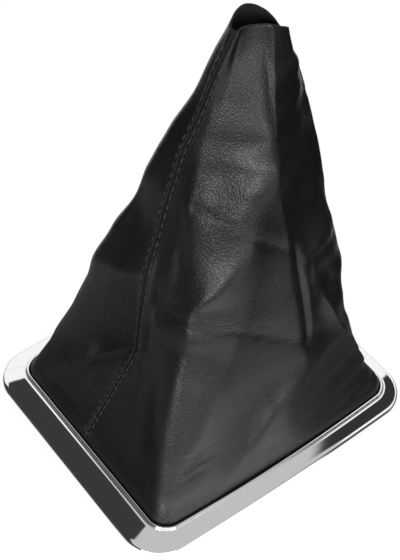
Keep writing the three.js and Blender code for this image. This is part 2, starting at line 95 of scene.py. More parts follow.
def add_node(tree: bpy.types.NodeTree, kind: str, settings: dict | None = None,
             links: dict | None = None) -> bpy.types.Node:
    """Add a shader node with its settings and links.

    Args:
        tree: The node tree that the node goes into.
        kind: The node's type name.
        settings: Attribute names, or input names and numbers, with their values.
        links: Input names or numbers with the output sockets that feed them.

    Returns:
        The new node.
    """
    node = tree.nodes.new(kind)
    for name, value in (settings or {}).items():
        if isinstance(name, str) and hasattr(node, name):
            setattr(node, name, value)
        else:
            node.inputs[name].default_value = value
    for name, socket in (links or {}).items():
        tree.links.new(socket, node.inputs[name])
    return node


def new_material(name: str) -> tuple[bpy.types.Material, bpy.types.NodeTree, bpy.types.Node]:
    """Make an empty node material with its output node.

    Args:
        name: The material's name.

    Returns:
        The material, its node tree and its output node.
    """
    material = bpy.data.materials.new(name)
    material.use_nodes = True
    tree = material.node_tree
    tree.nodes.clear()
    return material, tree, add_node(tree, "ShaderNodeOutputMaterial")


def ease(share: np.ndarray) -> np.ndarray:
    """Smooth a share from 0 to 1 so that it starts and ends level."""
    return share * share * (3 - 2 * share)


def ramp(value: np.ndarray, low: float, high: float) -> np.ndarray:
    """Rise smoothly from 0 at low to 1 at high."""
    return ease(np.clip((value - low) / (high - low), 0, 1))


def along_line(line: np.ndarray, place: np.ndarray, column: int) -> np.ndarray:
    """Read a smooth curve through a line's points.

    Args:
        line: Points, with their place along the line in the first column.
        place: Where to read, in the terms of that first column.
        column: The column that is read.

    Returns:
        The curve's values, held level past both ends.
    """
    knots = line[:, 0]
    values = line[:, column]
    slopes = np.empty(len(knots))
    slopes[1:-1] = (values[2:] - values[:-2]) / (knots[2:] - knots[:-2])
    slopes[0] = (values[1] - values[0]) / (knots[1] - knots[0])
    slopes[-1] = (values[-1] - values[-2]) / (knots[-1] - knots[-2])
    at = np.clip(place, knots[0], knots[-1])
    i = np.clip(np.searchsorted(knots, at, side="right") - 1, 0, len(knots) - 2)
    span = knots[i + 1] - knots[i]
    t = (at - knots[i]) / span
    rise = 3 * t * t - 2 * t ** 3
    start = t ** 3 - 2 * t * t + t
    end = t ** 3 - t * t
    leaving = (1 - rise) * values[i] + start * span * slopes[i]
    return leaving + rise * values[i + 1] + end * span * slopes[i + 1]


def height_along(line: np.ndarray, place: np.ndarray) -> np.ndarray:
    """Read a fold's height, level at each point of its line and zero past both ends.

    Args:
        line: The fold's points, with their place along it in the first column and the height in
            the third.
        place: Where to read.

    Returns:
        Heights in mm.
    """
    knots = line[:, 0]
    i = np.clip(np.searchsorted(knots, place, side="right") - 1, 0, len(knots) - 2)
    share = ease(np.clip((place - knots[i]) / (knots[i + 1] - knots[i]), 0, 1))
    inside = (place > knots[0]) & (place < knots[-1])
    return np.where(inside, line[i, 2] * (1 - share) + line[i + 1, 2] * share, 0.0)


def fold_shape(distance: np.ndarray, low: float, high: float, rounding: float) -> np.ndarray:
    """Give a fold's cross-section: a rounded crest that dies away on each side.

    Args:
        distance: Distance from the crest in mm, negative on the low side.
        low: How far the fold reaches on the low side.
        high: How far it reaches on the high side.
        rounding: How round the crest is.

    Returns:
        Shares of the fold's height.
    """
    reach = np.where(distance < 0, low, high)
    return np.exp(-(np.hypot(distance, rounding) - rounding) / reach)


def turn_between(start: np.ndarray, end: np.ndarray) -> np.ndarray:
    """Give the shortest way round from one place on the sleeve to another, in faces."""
    return np.mod(end - start + 2, FACES) - 2


def rounded_rectangle(u: np.ndarray, half_x: float, half_y: float, radii: list,
                      long_bow: float | np.ndarray) -> tuple[np.ndarray, np.ndarray]:
    """Walk a rounded rectangle whose long sides bow outwards.

    Args:
        u: Places round it, in faces, from the left corner.
        half_x: Half its length.
        half_y: Half its width.
        radii: A corner radius for each corner, as numbers or arrays.
        long_bow: How far the long sides bow out at their middle.

    Returns:
        The x and y of each place, in mm.
    """
    turn = np.mod(u, FACES)
    side = np.floor(turn).astype(int) % FACES
    length = np.where(side % 2 == 0, 2 * half_y, 2 * half_x)
    corners = [np.broadcast_to(np.asarray(r, float), turn.shape) for r in radii]
    start_radius = np.choose(side, corners)
    end_radius = np.choose((side + 1) % FACES, corners)
    start_arc = start_radius * math.pi / 4
    end_arc = end_radius * math.pi / 4
    straight = length - start_radius - end_radius
    walked = (turn - np.floor(turn)) * (straight + start_arc + end_arc)
    start_angle = math.pi / 4 + np.clip(walked / start_radius, 0, math.pi / 4)
    end_angle = np.clip((walked - start_arc - straight) / end_radius, 0, math.pi / 4)
    in_start = walked < start_arc
    in_end = walked > start_arc + straight
    along = np.where(in_start, start_radius * (1 - np.cos(start_angle)),
                     np.where(in_end, length - end_radius * (1 - np.sin(end_angle)),
                              walked - start_arc + start_radius))
    inset = np.where(in_start, start_radius * (1 - np.sin(start_angle)),
                     np.where(in_end, end_radius * (1 - np.cos(end_angle)), 0.0))
    start_share = ease(np.clip(walked / start_arc, 0, 1))
    end_share = ease(np.clip((straight + start_arc + end_arc - walked) / end_arc, 0, 1))
    bow = long_bow * (1 - (2 * along / length - 1) ** 2) * start_share * end_share
    bow = np.where(side % 2 == 0, 0.0, bow)
    start_x = np.choose(side, [-half_x, -half_x, half_x, half_x])
    start_y = np.choose(side, [half_y, -half_y, -half_y, half_y])
    go_x = np.choose(side, [0, 1, 0, -1])
    go_y = np.choose(side, [-1, 0, 1, 0])
    return start_x + go_x * along + go_y * (bow - inset), start_y + go_y * along - go_x * (bow - inset)


def mesh_object(name: str, points: np.ndarray, faces: list,
                material: bpy.types.Material) -> bpy.types.Object:
    """Make a smoothly shaded mesh object from points in mm.

    Args:
        name: The object's name.
        points: Points in mm, one to a row.
        faces: Lists of point numbers, going round each face seen from outside.
        material: The material of all its faces.

    Returns:
        The new object, linked to the scene.
    """
    mesh = bpy.data.meshes.new(name)
    mesh.from_pydata((points * MM).tolist(), [], faces)
    mesh.polygons.foreach_set("use_smooth", [True] * len(mesh.polygons))
    mesh.materials.append(material)
    mesh.update()
    piece = bpy.data.objects.new(name, mesh)
    bpy.context.scene.collection.objects.link(piece)
    return piece


def ring_faces(ring_count: int, point_count: int, closed: bool) -> list:
    """List the faces between neighbouring rings of points.

    Args:
        ring_count: How many rings there are.
        point_count: How many points each ring has.
        closed: Whether the last ring joins the first.

    Returns:
        Quads that face outwards where each ring goes round anticlockwise and the rings climb.
    """
    i = np.arange(ring_count if closed else ring_count - 1)[:, None]
    j = np.arange(point_count)[None, :]
    above = (i + 1) % ring_count
    after = (j + 1) % point_count
    quads = np.stack(np.broadcast_arrays(i * point_count + j, i * point_count + after,
                                         above * point_count + after, above * point_count + j), -1)
    return quads.reshape(-1, 4).tolist()


def hand_over(piece: bpy.types.Object, slot: Slot, replaced: str) -> None:
    """Put a finished piece on the part's body and say what it stands for.

    Args:
        piece: The finished piece.
        slot: The record's material slot that it takes its finish from.
        replaced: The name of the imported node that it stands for.
    """
    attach(piece, ROOT)
    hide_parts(replaced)
    LOG.info("piece %s, %d faces, slot %s", piece.name, len(piece.data.polygons), slot.value)


@dataclass(frozen=True)
class ChromePlating:
    """Bright chrome plated on moulded ABS: a mirror with a faint cool tint and hardly any haze."""

    colour: str = "f2f4f5"
    roughness: float = 0.03
    ripple_spacing_mm: float = 22.0
    ripple_mm: float = 0.006
    haze: float = 0.03
    haze_spacing_mm: float = 6.0

    def material(self) -> bpy.types.Material:
        """Build the plating, whose moulded base gives the mirror a slow ripple.

        Returns:
            The plating's material.
        """
        material, tree, output = new_material("chrome_plated_abs")
        place = add_node(tree, "ShaderNodeTexCoord").outputs["Object"]
        ripple = add_node(tree, "ShaderNodeTexNoise",
                          {"Scale": 1 / (self.ripple_spacing_mm * MM), "Detail": 1.0},
                          {"Vector": place})
        bump = add_node(tree, "ShaderNodeBump", {"Strength": 1.0, "Distance": self.ripple_mm * MM},
                        {"Height": ripple.outputs["Fac"]})
        haze = add_node(tree, "ShaderNodeTexNoise",
                        {"Scale": 1 / (self.haze_spacing_mm * MM), "Detail": 3.0}, {"Vector": place})
        rough = add_node(tree, "ShaderNodeMapRange",
                         {"To Min": self.roughness, "To Max": self.roughness + self.haze},
                         {"Value": haze.outputs["Fac"]})
        shader = add_node(tree, "ShaderNodeBsdfPrincipled",
                          {"Base Color": linear(self.colour), "Metallic": 1.0},
                          {"Roughness": rough.outputs["Result"], "Normal": bump.outputs["Normal"]})
        tree.links.new(shader.outputs["BSDF"], output.inputs["Surface"])
        return material


@dataclass(frozen=True)
class Leatherette:
    """Black PVC leather cloth: an embossed pebble grain under a semi-gloss top coat.

    The grain breaks each highlight into fine specks, and the creases carry short wrinkles that run
    along them. The inner side is the knitted backing cloth, dull and without grain. The fine grain
    between the pebbles, about 0.2 mm on the real cloth, is drawn at 0.5 mm so that it shows.
    """

    colour: str = "0c0c0d"
    worn_colour: str = "1a1a1d"
    backing_colour: str = "131314"
    roughness: float = 0.37
    gloss_spread: float = 0.08
    backing_roughness: float = 0.95
    pebble_mm: float = 1.1
    pebble_depth_mm: float = 0.048
    pebble_edge: float = 0.30
    pebble_wander_mm: float = 0.7
    wander_spacing_mm: float = 2.0
    fine_grain_mm: float = 0.5
    fine_depth_mm: float = 0.01
    wrinkle_length_mm: float = 9.0
    wrinkle_spacing_mm: float = 1.3
    wrinkle_depth_mm: float = 0.24
    wrinkle_cut: tuple = (0.35, 0.6)
    patch_mm: float = 18.0

    def material(self) -> bpy.types.Material:
        """Build the leather cloth's colour, gloss and embossed relief.

        Returns:
            The leather cloth's material.
        """
        material, tree, output = new_material("black_pvc_leathercloth")
        place = add_node(tree, "ShaderNodeTexCoord").outputs["Object"]
        crease = add_node(tree, "ShaderNodeAttribute", {"attribute_name": "crease"}).outputs["Fac"]
        backing = add_node(tree, "ShaderNodeAttribute", {"attribute_name": "backing"}).outputs["Fac"]
        flat = add_node(tree, "ShaderNodeAttribute", {"attribute_name": "flat"}).outputs["Vector"]
        wander = add_node(tree, "ShaderNodeTexNoise",
                          {"Scale": 1 / (self.wander_spacing_mm * MM), "Detail": 2.0},
                          {"Vector": place})
        shift = add_node(tree, "ShaderNodeVectorMath",
                         {"operation": "SCALE", "Scale": self.pebble_wander_mm * MM},
                         {0: wander.outputs["Color"]})
        bent = add_node(tree, "ShaderNodeVectorMath", {"operation": "ADD"},
                        {0: place, 1: shift.outputs[0]}).outputs[0]
        pebbles = add_node(tree, "ShaderNodeTexVoronoi",
                           {"feature": "DISTANCE_TO_EDGE", "Scale": 1 / (self.pebble_mm * MM)},
                           {"Vector": bent})
        dome = add_node(tree, "ShaderNodeMapRange",
                        {"interpolation_type": "SMOOTHSTEP", "From Max": self.pebble_edge},
                        {"Value": pebbles.outputs["Distance"]})
        fine = add_node(tree, "ShaderNodeTexNoise",
                        {"Scale": 1 / (self.fine_grain_mm * MM), "Detail": 2.0}, {"Vector": place})
        stretched = add_node(tree, "ShaderNodeVectorMath",
                             {"operation": "DIVIDE",
                              1: (self.wrinkle_length_mm * MM, self.wrinkle_spacing_mm * MM, 1)},
                             {0: flat})
        lines = add_node(tree, "ShaderNodeTexNoise",
                         {"Scale": 1.0, "Detail": 3.0, "Roughness": 0.6, "Distortion": 0.6},
                         {"Vector": stretched.outputs[0]})
        cut = add_node(tree, "ShaderNodeMapRange",
                       {"interpolation_type": "SMOOTHSTEP", "From Min": self.wrinkle_cut[0],
                        "From Max": self.wrinkle_cut[1]},
                       {"Value": lines.outputs["Fac"]})
        lined = add_node(tree, "ShaderNodeMath", {"operation": "MULTIPLY"},
                         {0: cut.outputs["Result"], 1: crease})
        face = add_node(tree, "ShaderNodeMath", {"operation": "SUBTRACT", 0: 1.0}, {1: backing})
        grain = add_node(tree, "ShaderNodeBump", {"Distance": self.fine_depth_mm * MM},
                         {"Height": fine.outputs["Fac"]})
        emboss = add_node(tree, "ShaderNodeBump", {"Distance": self.pebble_depth_mm * MM},
                          {"Height": dome.outputs["Result"], "Normal": grain.outputs["Normal"],
                           "Strength": face.outputs[0]})
        wrinkle = add_node(tree, "ShaderNodeBump", {"Distance": self.wrinkle_depth_mm * MM},
                           {"Height": lined.outputs[0], "Normal": emboss.outputs["Normal"]})
        patch = add_node(tree, "ShaderNodeTexNoise",
                         {"Scale": 1 / (self.patch_mm * MM), "Detail": 3.0}, {"Vector": place})
        tone = add_node(tree, "ShaderNodeMix",
                        {"data_type": "RGBA", 6: linear(self.colour), 7: linear(self.worn_colour)},
                        {0: patch.outputs["Fac"]})
        two_sided = add_node(tree, "ShaderNodeMix",
                             {"data_type": "RGBA", 7: linear(self.backing_colour)},
                             {0: backing, 6: tone.outputs[2]})
        gloss = add_node(tree, "ShaderNodeMapRange",
                         {"To Min": self.roughness - self.gloss_spread / 2,
                          "To Max": self.roughness + self.gloss_spread / 2},
                         {"Value": patch.outputs["Fac"]})
        dull = add_node(tree, "ShaderNodeMix", {"data_type": "FLOAT", 3: self.backing_roughness},
                        {0: backing, 2: gloss.outputs["Result"]})
        shader = add_node(tree, "ShaderNodeBsdfPrincipled", {"IOR": 1.5},
                          {"Base Color": two_sided.outputs[2], "Roughness": dull.outputs[0],
                           "Normal": wrinkle.outputs["Normal"]})
        tree.links.new(shader.outputs["BSDF"], output.inputs["Surface"])
        return material


@dataclass(frozen=True)
class MouldedPlastic:
    """Black ABS moulding with a spark-eroded texture, which scatters light evenly.

    The texture, about 0.2 mm on the real moulding, is drawn at 0.5 mm so that it shows.
    """

    colour: str = "1d1e20"
    roughness: float = 0.55
    gloss_spread: float = 0.12
    gloss_patch_mm: float = 12.0
    spark_mm: float = 0.5
    spark_depth_mm: float = 0.02

    def material(self) -> bpy.types.Material:
        """Build the textured moulding.

        Returns:
            The moulding's material.
        """
        material, tree, output = new_material("textured_black_abs")
        place = add_node(tree, "ShaderNodeTexCoord").outputs["Object"]
        spark = add_node(tree, "ShaderNodeTexNoise",
                         {"Scale": 1 / (self.spark_mm * MM), "Detail": 2.0}, {"Vector": place})
        bump = add_node(tree, "ShaderNodeBump", {"Distance": self.spark_depth_mm * MM},
                        {"Height": spark.outputs["Fac"]})
        patch = add_node(tree, "ShaderNodeTexNoise", {"Scale": 1 / (self.gloss_patch_mm * MM)},
                         {"Vector": place})
        rough = add_node(tree, "ShaderNodeMapRange",
                         {"To Min": self.roughness - self.gloss_spread / 2,
                          "To Max": self.roughness + self.gloss_spread / 2},
                         {"Value": patch.outputs["Fac"]})
        shader = add_node(tree, "ShaderNodeBsdfPrincipled", {"Base Color": linear(self.colour)},
                          {"Roughness": rough.outputs["Result"], "Normal": bump.outputs["Normal"]})
        tree.links.new(shader.outputs["BSDF"], output.inputs["Surface"])
        return material


@dataclass(frozen=True)
class SewingThread:
    """Bonded polyester thread: three plies twisted, so each stitch shows slanted strands, with painted
    shade darkening the grooves between them.
    """

    colour: str = "2b2b2e"
    painted_groove_shade: str = "1e1e20"
    roughness: float = 0.55
    twist_mm: float = 0.6
    twist_depth_mm: float = 0.08

    def material(self) -> bpy.types.Material:
        """Build the twisted thread.

        Returns:
            The thread's material.
        """
        material, tree, output = new_material("bonded_polyester_thread")
        place = add_node(tree, "ShaderNodeTexCoord").outputs["Object"]
        plies = add_node(tree, "ShaderNodeTexWave",
                         {"wave_type": "BANDS", "bands_direction": "DIAGONAL",
                          "Scale": 1 / (self.twist_mm * MM * 2 * math.pi), "Distortion": 1.5},
                         {"Vector": place})
        bump = add_node(tree, "ShaderNodeBump", {"Distance": self.twist_depth_mm * MM},
                        {"Height": plies.outputs["Fac"]})
        # Painted shade: the colour darkens where the plies' bump is low, in the grooves between them
        tone = add_node(tree, "ShaderNodeMix",
                        {"data_type": "RGBA", 6: linear(self.painted_groove_shade), 7: linear(self.colour)},
                        {0: plies.outputs["Fac"]})
        shader = add_node(tree, "ShaderNodeBsdfPrincipled",
                          {"Roughness": self.roughness, "Sheen Weight": 0.3, "Sheen Roughness": 0.4},
                          {"Base Color": tone.outputs[2], "Normal": bump.outputs["Normal"]})
        tree.links.new(shader.outputs["BSDF"], output.inputs["Surface"])
        return material


@dataclass(frozen=True)
class ZincPlatedSteel:
    """Bright zinc on steel wire and strip: a metal with a soft, slightly cloudy shine."""

    colour: str = "b9bcbf"
    cloud_colour: str = "a5a8aa"
    cloud_mm: float = 2.5
    cloud_depth_mm: float = 0.01
    least_roughness: float = 0.20
    most_roughness: float = 0.40

    def material(self) -> bpy.types.Material:
        """Build the plated steel with its cloudy patches.

        Returns:
            The plated steel's material.
        """
        material, tree, output = new_material("zinc_plated_steel")
        place = add_node(tree, "ShaderNodeTexCoord").outputs["Object"]
        cloud = add_node(tree, "ShaderNodeTexNoise",
                         {"Scale": 1 / (self.cloud_mm * MM), "Detail": 4.0}, {"Vector": place})
        rough = add_node(tree, "ShaderNodeMapRange",
                         {"To Min": self.least_roughness, "To Max": self.most_roughness},
                         {"Value": cloud.outputs["Fac"]})
        tone = add_node(tree, "ShaderNodeMix",
                        {"data_type": "RGBA", 6: linear(self.cloud_colour), 7: linear(self.colour)},
                        {0: cloud.outputs["Fac"]})
        bump = add_node(tree, "ShaderNodeBump", {"Distance": self.cloud_depth_mm * MM},
                        {"Height": cloud.outputs["Fac"]})
        shader = add_node(tree, "ShaderNodeBsdfPrincipled", {"Metallic": 1.0},
                          {"Base Color": tone.outputs[2], "Roughness": rough.outputs["Result"],
                           "Normal": bump.outputs["Normal"]})
        tree.links.new(shader.outputs["BSDF"], output.inputs["Surface"])
        return material


@dataclass(frozen=True)
class BezelSizes:
    """Sizes of the bezel in mm. The lip is the raised inner edge that surrounds the leather."""

    lip_length: float = 130.0
    lip_width: float = 104.0
    lip_height: float = 5.9
    lip_thickness: float = 1.6
    lip_step: float = 1.1
    lip_corner_radius: float = 8.0
    lip_long_bow: float = 2.1
    corner_radius: float = 16.0
    long_bow: float = 1.5
    band_left: float = 11.2
    band_right: float = 8.8
    band_front: float = 7.6
    band_back: float = 8.6
    band_wall: float = 1.9
    skirt_height: float = 1.7
    skirt_rounding: float = 0.9
    rib_width: float = 4.4
    rib_base: float = 1.2

    @property
    def lip_centre(self) -> tuple[float, float]:
        """The middle of the lip, which lies a little off the middle of the bezel."""
        return (self.band_left - self.band_right) / 2, (self.band_front - self.band_back) / 2

    def lip_outline(self, u: np.ndarray, offset: float) -> tuple[np.ndarray, np.ndarray]:
        """Walk the middle of the lip, moved outwards.

        Args:
            u: Places round the lip.
            offset: How far it is moved.

        Returns:
            The x and y of each place.
        """
        x, y = rounded_rectangle(u, self.lip_length / 2 + offset, self.lip_width / 2 + offset,
                                 [self.lip_corner_radius + offset] * FACES, self.lip_long_bow)
        return self.lip_centre[0] + x, self.lip_centre[1] + y

    def outer_outline(self, u: np.ndarray, inset: float) -> tuple[np.ndarray, np.ndarray]:
        """Walk the bezel's outer edge, moved inwards.

        Args:
            u: Places round the edge.
            inset: How far it is moved.

        Returns:
            The x and y of each place.
        """
        half_x = (self.lip_length + self.band_left + self.band_right) / 2
        half_y = (self.lip_width + self.band_front + self.band_back) / 2
        return rounded_rectangle(u, half_x - inset, half_y - inset,
                                 [self.corner_radius - inset] * FACES, self.long_bow)


@dataclass
class Bezel:
    """The chrome-plated bezel: one moulding with a rounded lip, a sloping band and a rolled edge.

    The band starts a little below the lip's step and ends a little above the skirt, by the two
    drops of band_ends in mm.
    """

    sizes: BezelSizes = field(default_factory=BezelSizes)
    finish: ChromePlating = field(default_factory=ChromePlating)
    corner_share: float = 0.12
    corner_steps: int = 22
    side_steps: int = 60
    arc_steps: int = 7
    band_steps: int = 12
    crown: float = 0.05
    fillet: float = 0.5
    edge_rounding: float = 0.3
    hidden_chamfer: float = 0.1
    band_ends: tuple = (0.16, 0.18)

    def places(self) -> np.ndarray:
        """Place the columns round the bezel, closer together in the corners.

        Returns:
            The columns' places.
        """
        corner = np.linspace(0, self.corner_share, self.corner_steps, endpoint=False)
        side = np.linspace(self.corner_share, 1 - self.corner_share, self.side_steps, endpoint=False)
        end = np.linspace(1 - self.corner_share, 1, self.corner_steps, endpoint=False)
        face = np.concatenate([corner, side, end])
        return np.concatenate([face + i for i in range(FACES)])

    def ring(self, outline: tuple[np.ndarray, np.ndarray], height: float) -> np.ndarray:
        """Lift an outline to a height over the bezel's base."""
        return np.stack([outline[0], outline[1], np.full_like(outline[0], BEZEL_BASE + height)], -1)

    def arc(self, centre: tuple[float, float], radius: float, start: float, end: float) -> list:
        """List points on an arc of the section, as offset and height.

        Args:
            centre: Offset and height of the arc's centre.
            radius: Its radius.
            start: Its first angle in degrees, from outwards up.
            end: Its last angle.

        Returns:
            Pairs of offset and height.
        """
        angles = np.radians(np.linspace(start, end, self.arc_steps))
        return [(centre[0] + radius * math.cos(a), centre[1] + radius * math.sin(a)) for a in angles]

    def build(self) -> bpy.types.Object:
        """Build the moulding from rings of its section, and dress it.

        Returns:
            The finished bezel.
        """
        s = self.sizes
        u = self.places()
        half = s.lip_thickness / 2
        band_top = s.lip_height - s.lip_step
        crest = self.arc((0, s.lip_height - half), half, 180, 0)
        foot = self.arc((half + self.fillet, band_top + self.fillet * 0.8), self.fillet, 180, 250)
        wall = (s.rib_base, s.rib_base + 0.3, s.lip_height - half - 0.4)
        rings = [self.ring(s.lip_outline(u, -half), z) for z in wall]
        rings += [self.ring(s.lip_outline(u, x), z) for x, z in crest + foot]
        inner = s.lip_outline(u, half + self.fillet * 1.6)
        outer = s.outer_outline(u, s.skirt_rounding + 0.5)
        inner_height = band_top - self.band_ends[0]
        outer_height = s.skirt_height + self.band_ends[1]
        for share in np.linspace(0, 1, self.band_steps):
            outline = tuple(a * (1 - share) + b * share for a, b in zip(inner, outer))
            crown = self.crown * math.sin(math.pi * share)
            rings.append(self.ring(outline, inner_height * (1 - share) + outer_height * share + crown))
        roll = self.arc((-s.skirt_rounding, s.skirt_height - s.skirt_rounding), s.skirt_rounding, 72, 0)
        rings += [self.ring(s.outer_outline(u, -x), z) for x, z in roll]
        rings.append(self.ring(s.outer_outline(u, 0), 1.4 * self.edge_rounding))
        edge = self.arc((-self.edge_rounding, self.edge_rounding), self.edge_rounding, 0, -90)
        rings += [self.ring(s.outer_outline(u, -x), z) for x, z in edge]
        bevel = self.hidden_chamfer
        inside = ((s.band_wall - bevel, 0), (s.band_wall, bevel), (s.band_wall, 3 * bevel))
        rings += [self.ring(s.outer_outline(u, inset), z) for inset, z in inside]
        roof = band_top - s.band_wall - (band_top - s.skirt_height) / 2
        rib = ((s.rib_width + 2 * bevel, roof), (s.rib_width, roof - 2 * bevel),
               (s.rib_width, s.rib_base))
        rings += [self.ring(s.lip_outline(u, offset), z) for offset, z in rib]
        rings.reverse()
        points = np.concatenate(rings)
        piece = mesh_object("bezel_moulding", points, ring_faces(len(rings), len(u), True),
                            self.finish.material())
        hand_over(piece, Slot.CHROME, "chrome_bezel")
        return piece


@dataclass(frozen=True)
class UprightFold:
    """A fold that climbs the sleeve. Its points are height share v, place u and height in mm."""

    left: float
    right: float
    rounding: float
    points: tuple

    def relief(self, u: np.ndarray, v: np.ndarray, face_width: np.ndarray) -> np.ndarray:
        """Give the fold's height at each place.

        Args:
            u: Places round the sleeve.
            v: Heights up it.
            face_width: The width of a face there, in mm.

        Returns:
            Heights in mm.
        """
        line = np.array(self.points)
        distance = turn_between(along_line(line, v, 1), u) * face_width
        return height_along(line, v) * fold_shape(distance, self.left, self.right, self.rounding)


@dataclass(frozen=True)
class CrossFold:
    """A fold that runs round the sleeve. Its points are place u, height share v and height in mm.

    The leather is wrinkled in a strip along it, whose middle lies a little above its line.
    """

    below: float
    above: float
    rounding: float
    points: tuple
    wrinkled: float = 0.0
    strip_rise: float = 1.2
    strip_reach: float = 3.4

    def read(self, u: np.ndarray, v: np.ndarray, climb: float) -> tuple[np.ndarray, np.ndarray]:
        """Read the fold's line at each place.

        Args:
            u: Places round the sleeve.
            v: Heights up it.
            climb: The sleeve's length from lip to rim, in mm.

        Returns:
            Each place's distance above the line, and the fold's height there, in mm.
        """
        line = np.array(self.points)
        start = self.points[0][0]
        place = start + np.mod(u - start, FACES)
        return (v - along_line(line, place, 1)) * climb, height_along(line, place)

    def relief(self, u: np.ndarray, v: np.ndarray, climb: float) -> np.ndarray:
        """Give the fold's height in mm at each place."""
        distance, height = self.read(u, v, climb)
        return height * fold_shape(distance, self.below, self.above, self.rounding)

    def wrinkling(self, u: np.ndarray, v: np.ndarray, climb: float) -> np.ndarray:
        """Give how strongly the leather is wrinkled beside the fold.

        Args:
            u: Places round the sleeve.
            v: Heights up it.
            climb: The sleeve's length from lip to rim, in mm.

        Returns:
            Strengths from 0 to 1.
        """
        distance, height = self.read(u, v, climb)
        away = (distance - self.strip_rise) / self.strip_reach
        return self.wrinkled * np.minimum(np.abs(height), 1.0) * np.exp(-away ** 2)


@dataclass(frozen=True)
class Dent:
    """A round dent or swelling: its place, height and reach in mm."""

    u: float
    v: float
    height: float
    reach: float
    wrinkled: float = 0.0

    def share(self, u: np.ndarray, v: np.ndarray, face_width: np.ndarray, climb: float) -> np.ndarray:
        """Give how much of the dent is felt at each place.

        Args:
            u: Places round the sleeve.
            v: Heights up it.
            face_width: The width of a face there, in mm.
            climb: The sleeve's length from lip to rim, in mm.

        Returns:
            Shares from 0 to 1.
        """
        across = turn_between(self.u, u) * face_width
        up = (v - self.v) * climb
        return np.exp(-(across * across + up * up) / self.reach ** 2)


@dataclass(frozen=True)
class Facet:
    """A flat facet, where the leather is drawn straight from one edge to another.

    Its points are height share v, the places u of its two edges, how far it is drawn straight
    (0 to 1) and its bow in mm.
    """

    points: tuple

    def edges(self, v: np.ndarray) -> tuple[np.ndarray, np.ndarray]:
        """Give the places of the two edges at each height."""
        table = np.array(self.points)
        return along_line(table, v, 1), along_line(table, v, 2)

    def place(self, u: np.ndarray, v: np.ndarray) -> np.ndarray:
        """Give how far across the facet each place lies, from 0 to 1 on it."""
        start, end = self.edges(v)
        return turn_between(start, u) / (end - start)

    def drawn(self, v: np.ndarray) -> np.ndarray:
        """Give how far the facet is drawn straight at each height."""
        return height_along(np.array(self.points)[:, [0, 1, 3]], v)

    def bow(self, v: np.ndarray) -> np.ndarray:
        """Give the facet's bow in mm at each height."""
        return along_line(np.array(self.points), v, 4)


# The sleeve is a straight taper from lip to rim, with these facets, folds and dents laid over it
FACETS = {
    "right side": Facet((
        (0.40, 1.56, 2.28, 0, 0), (0.49, 1.54, 2.29, 0.3, 0.6), (0.58, 1.52, 2.30, 0.8, -0.2),
        (0.642, 1.475, 2.30, 1, -0.5), (0.732, 1.40, 2.30, 1, 0), (0.792, 1.43, 2.28, 1, 0.6),
        (0.86, 1.475, 2.24, 0.8, 1.0), (0.92, 1.51, 2.2, 0.5, 0.9), (1.0, 1.58, 2.2, 0, 0))),
}

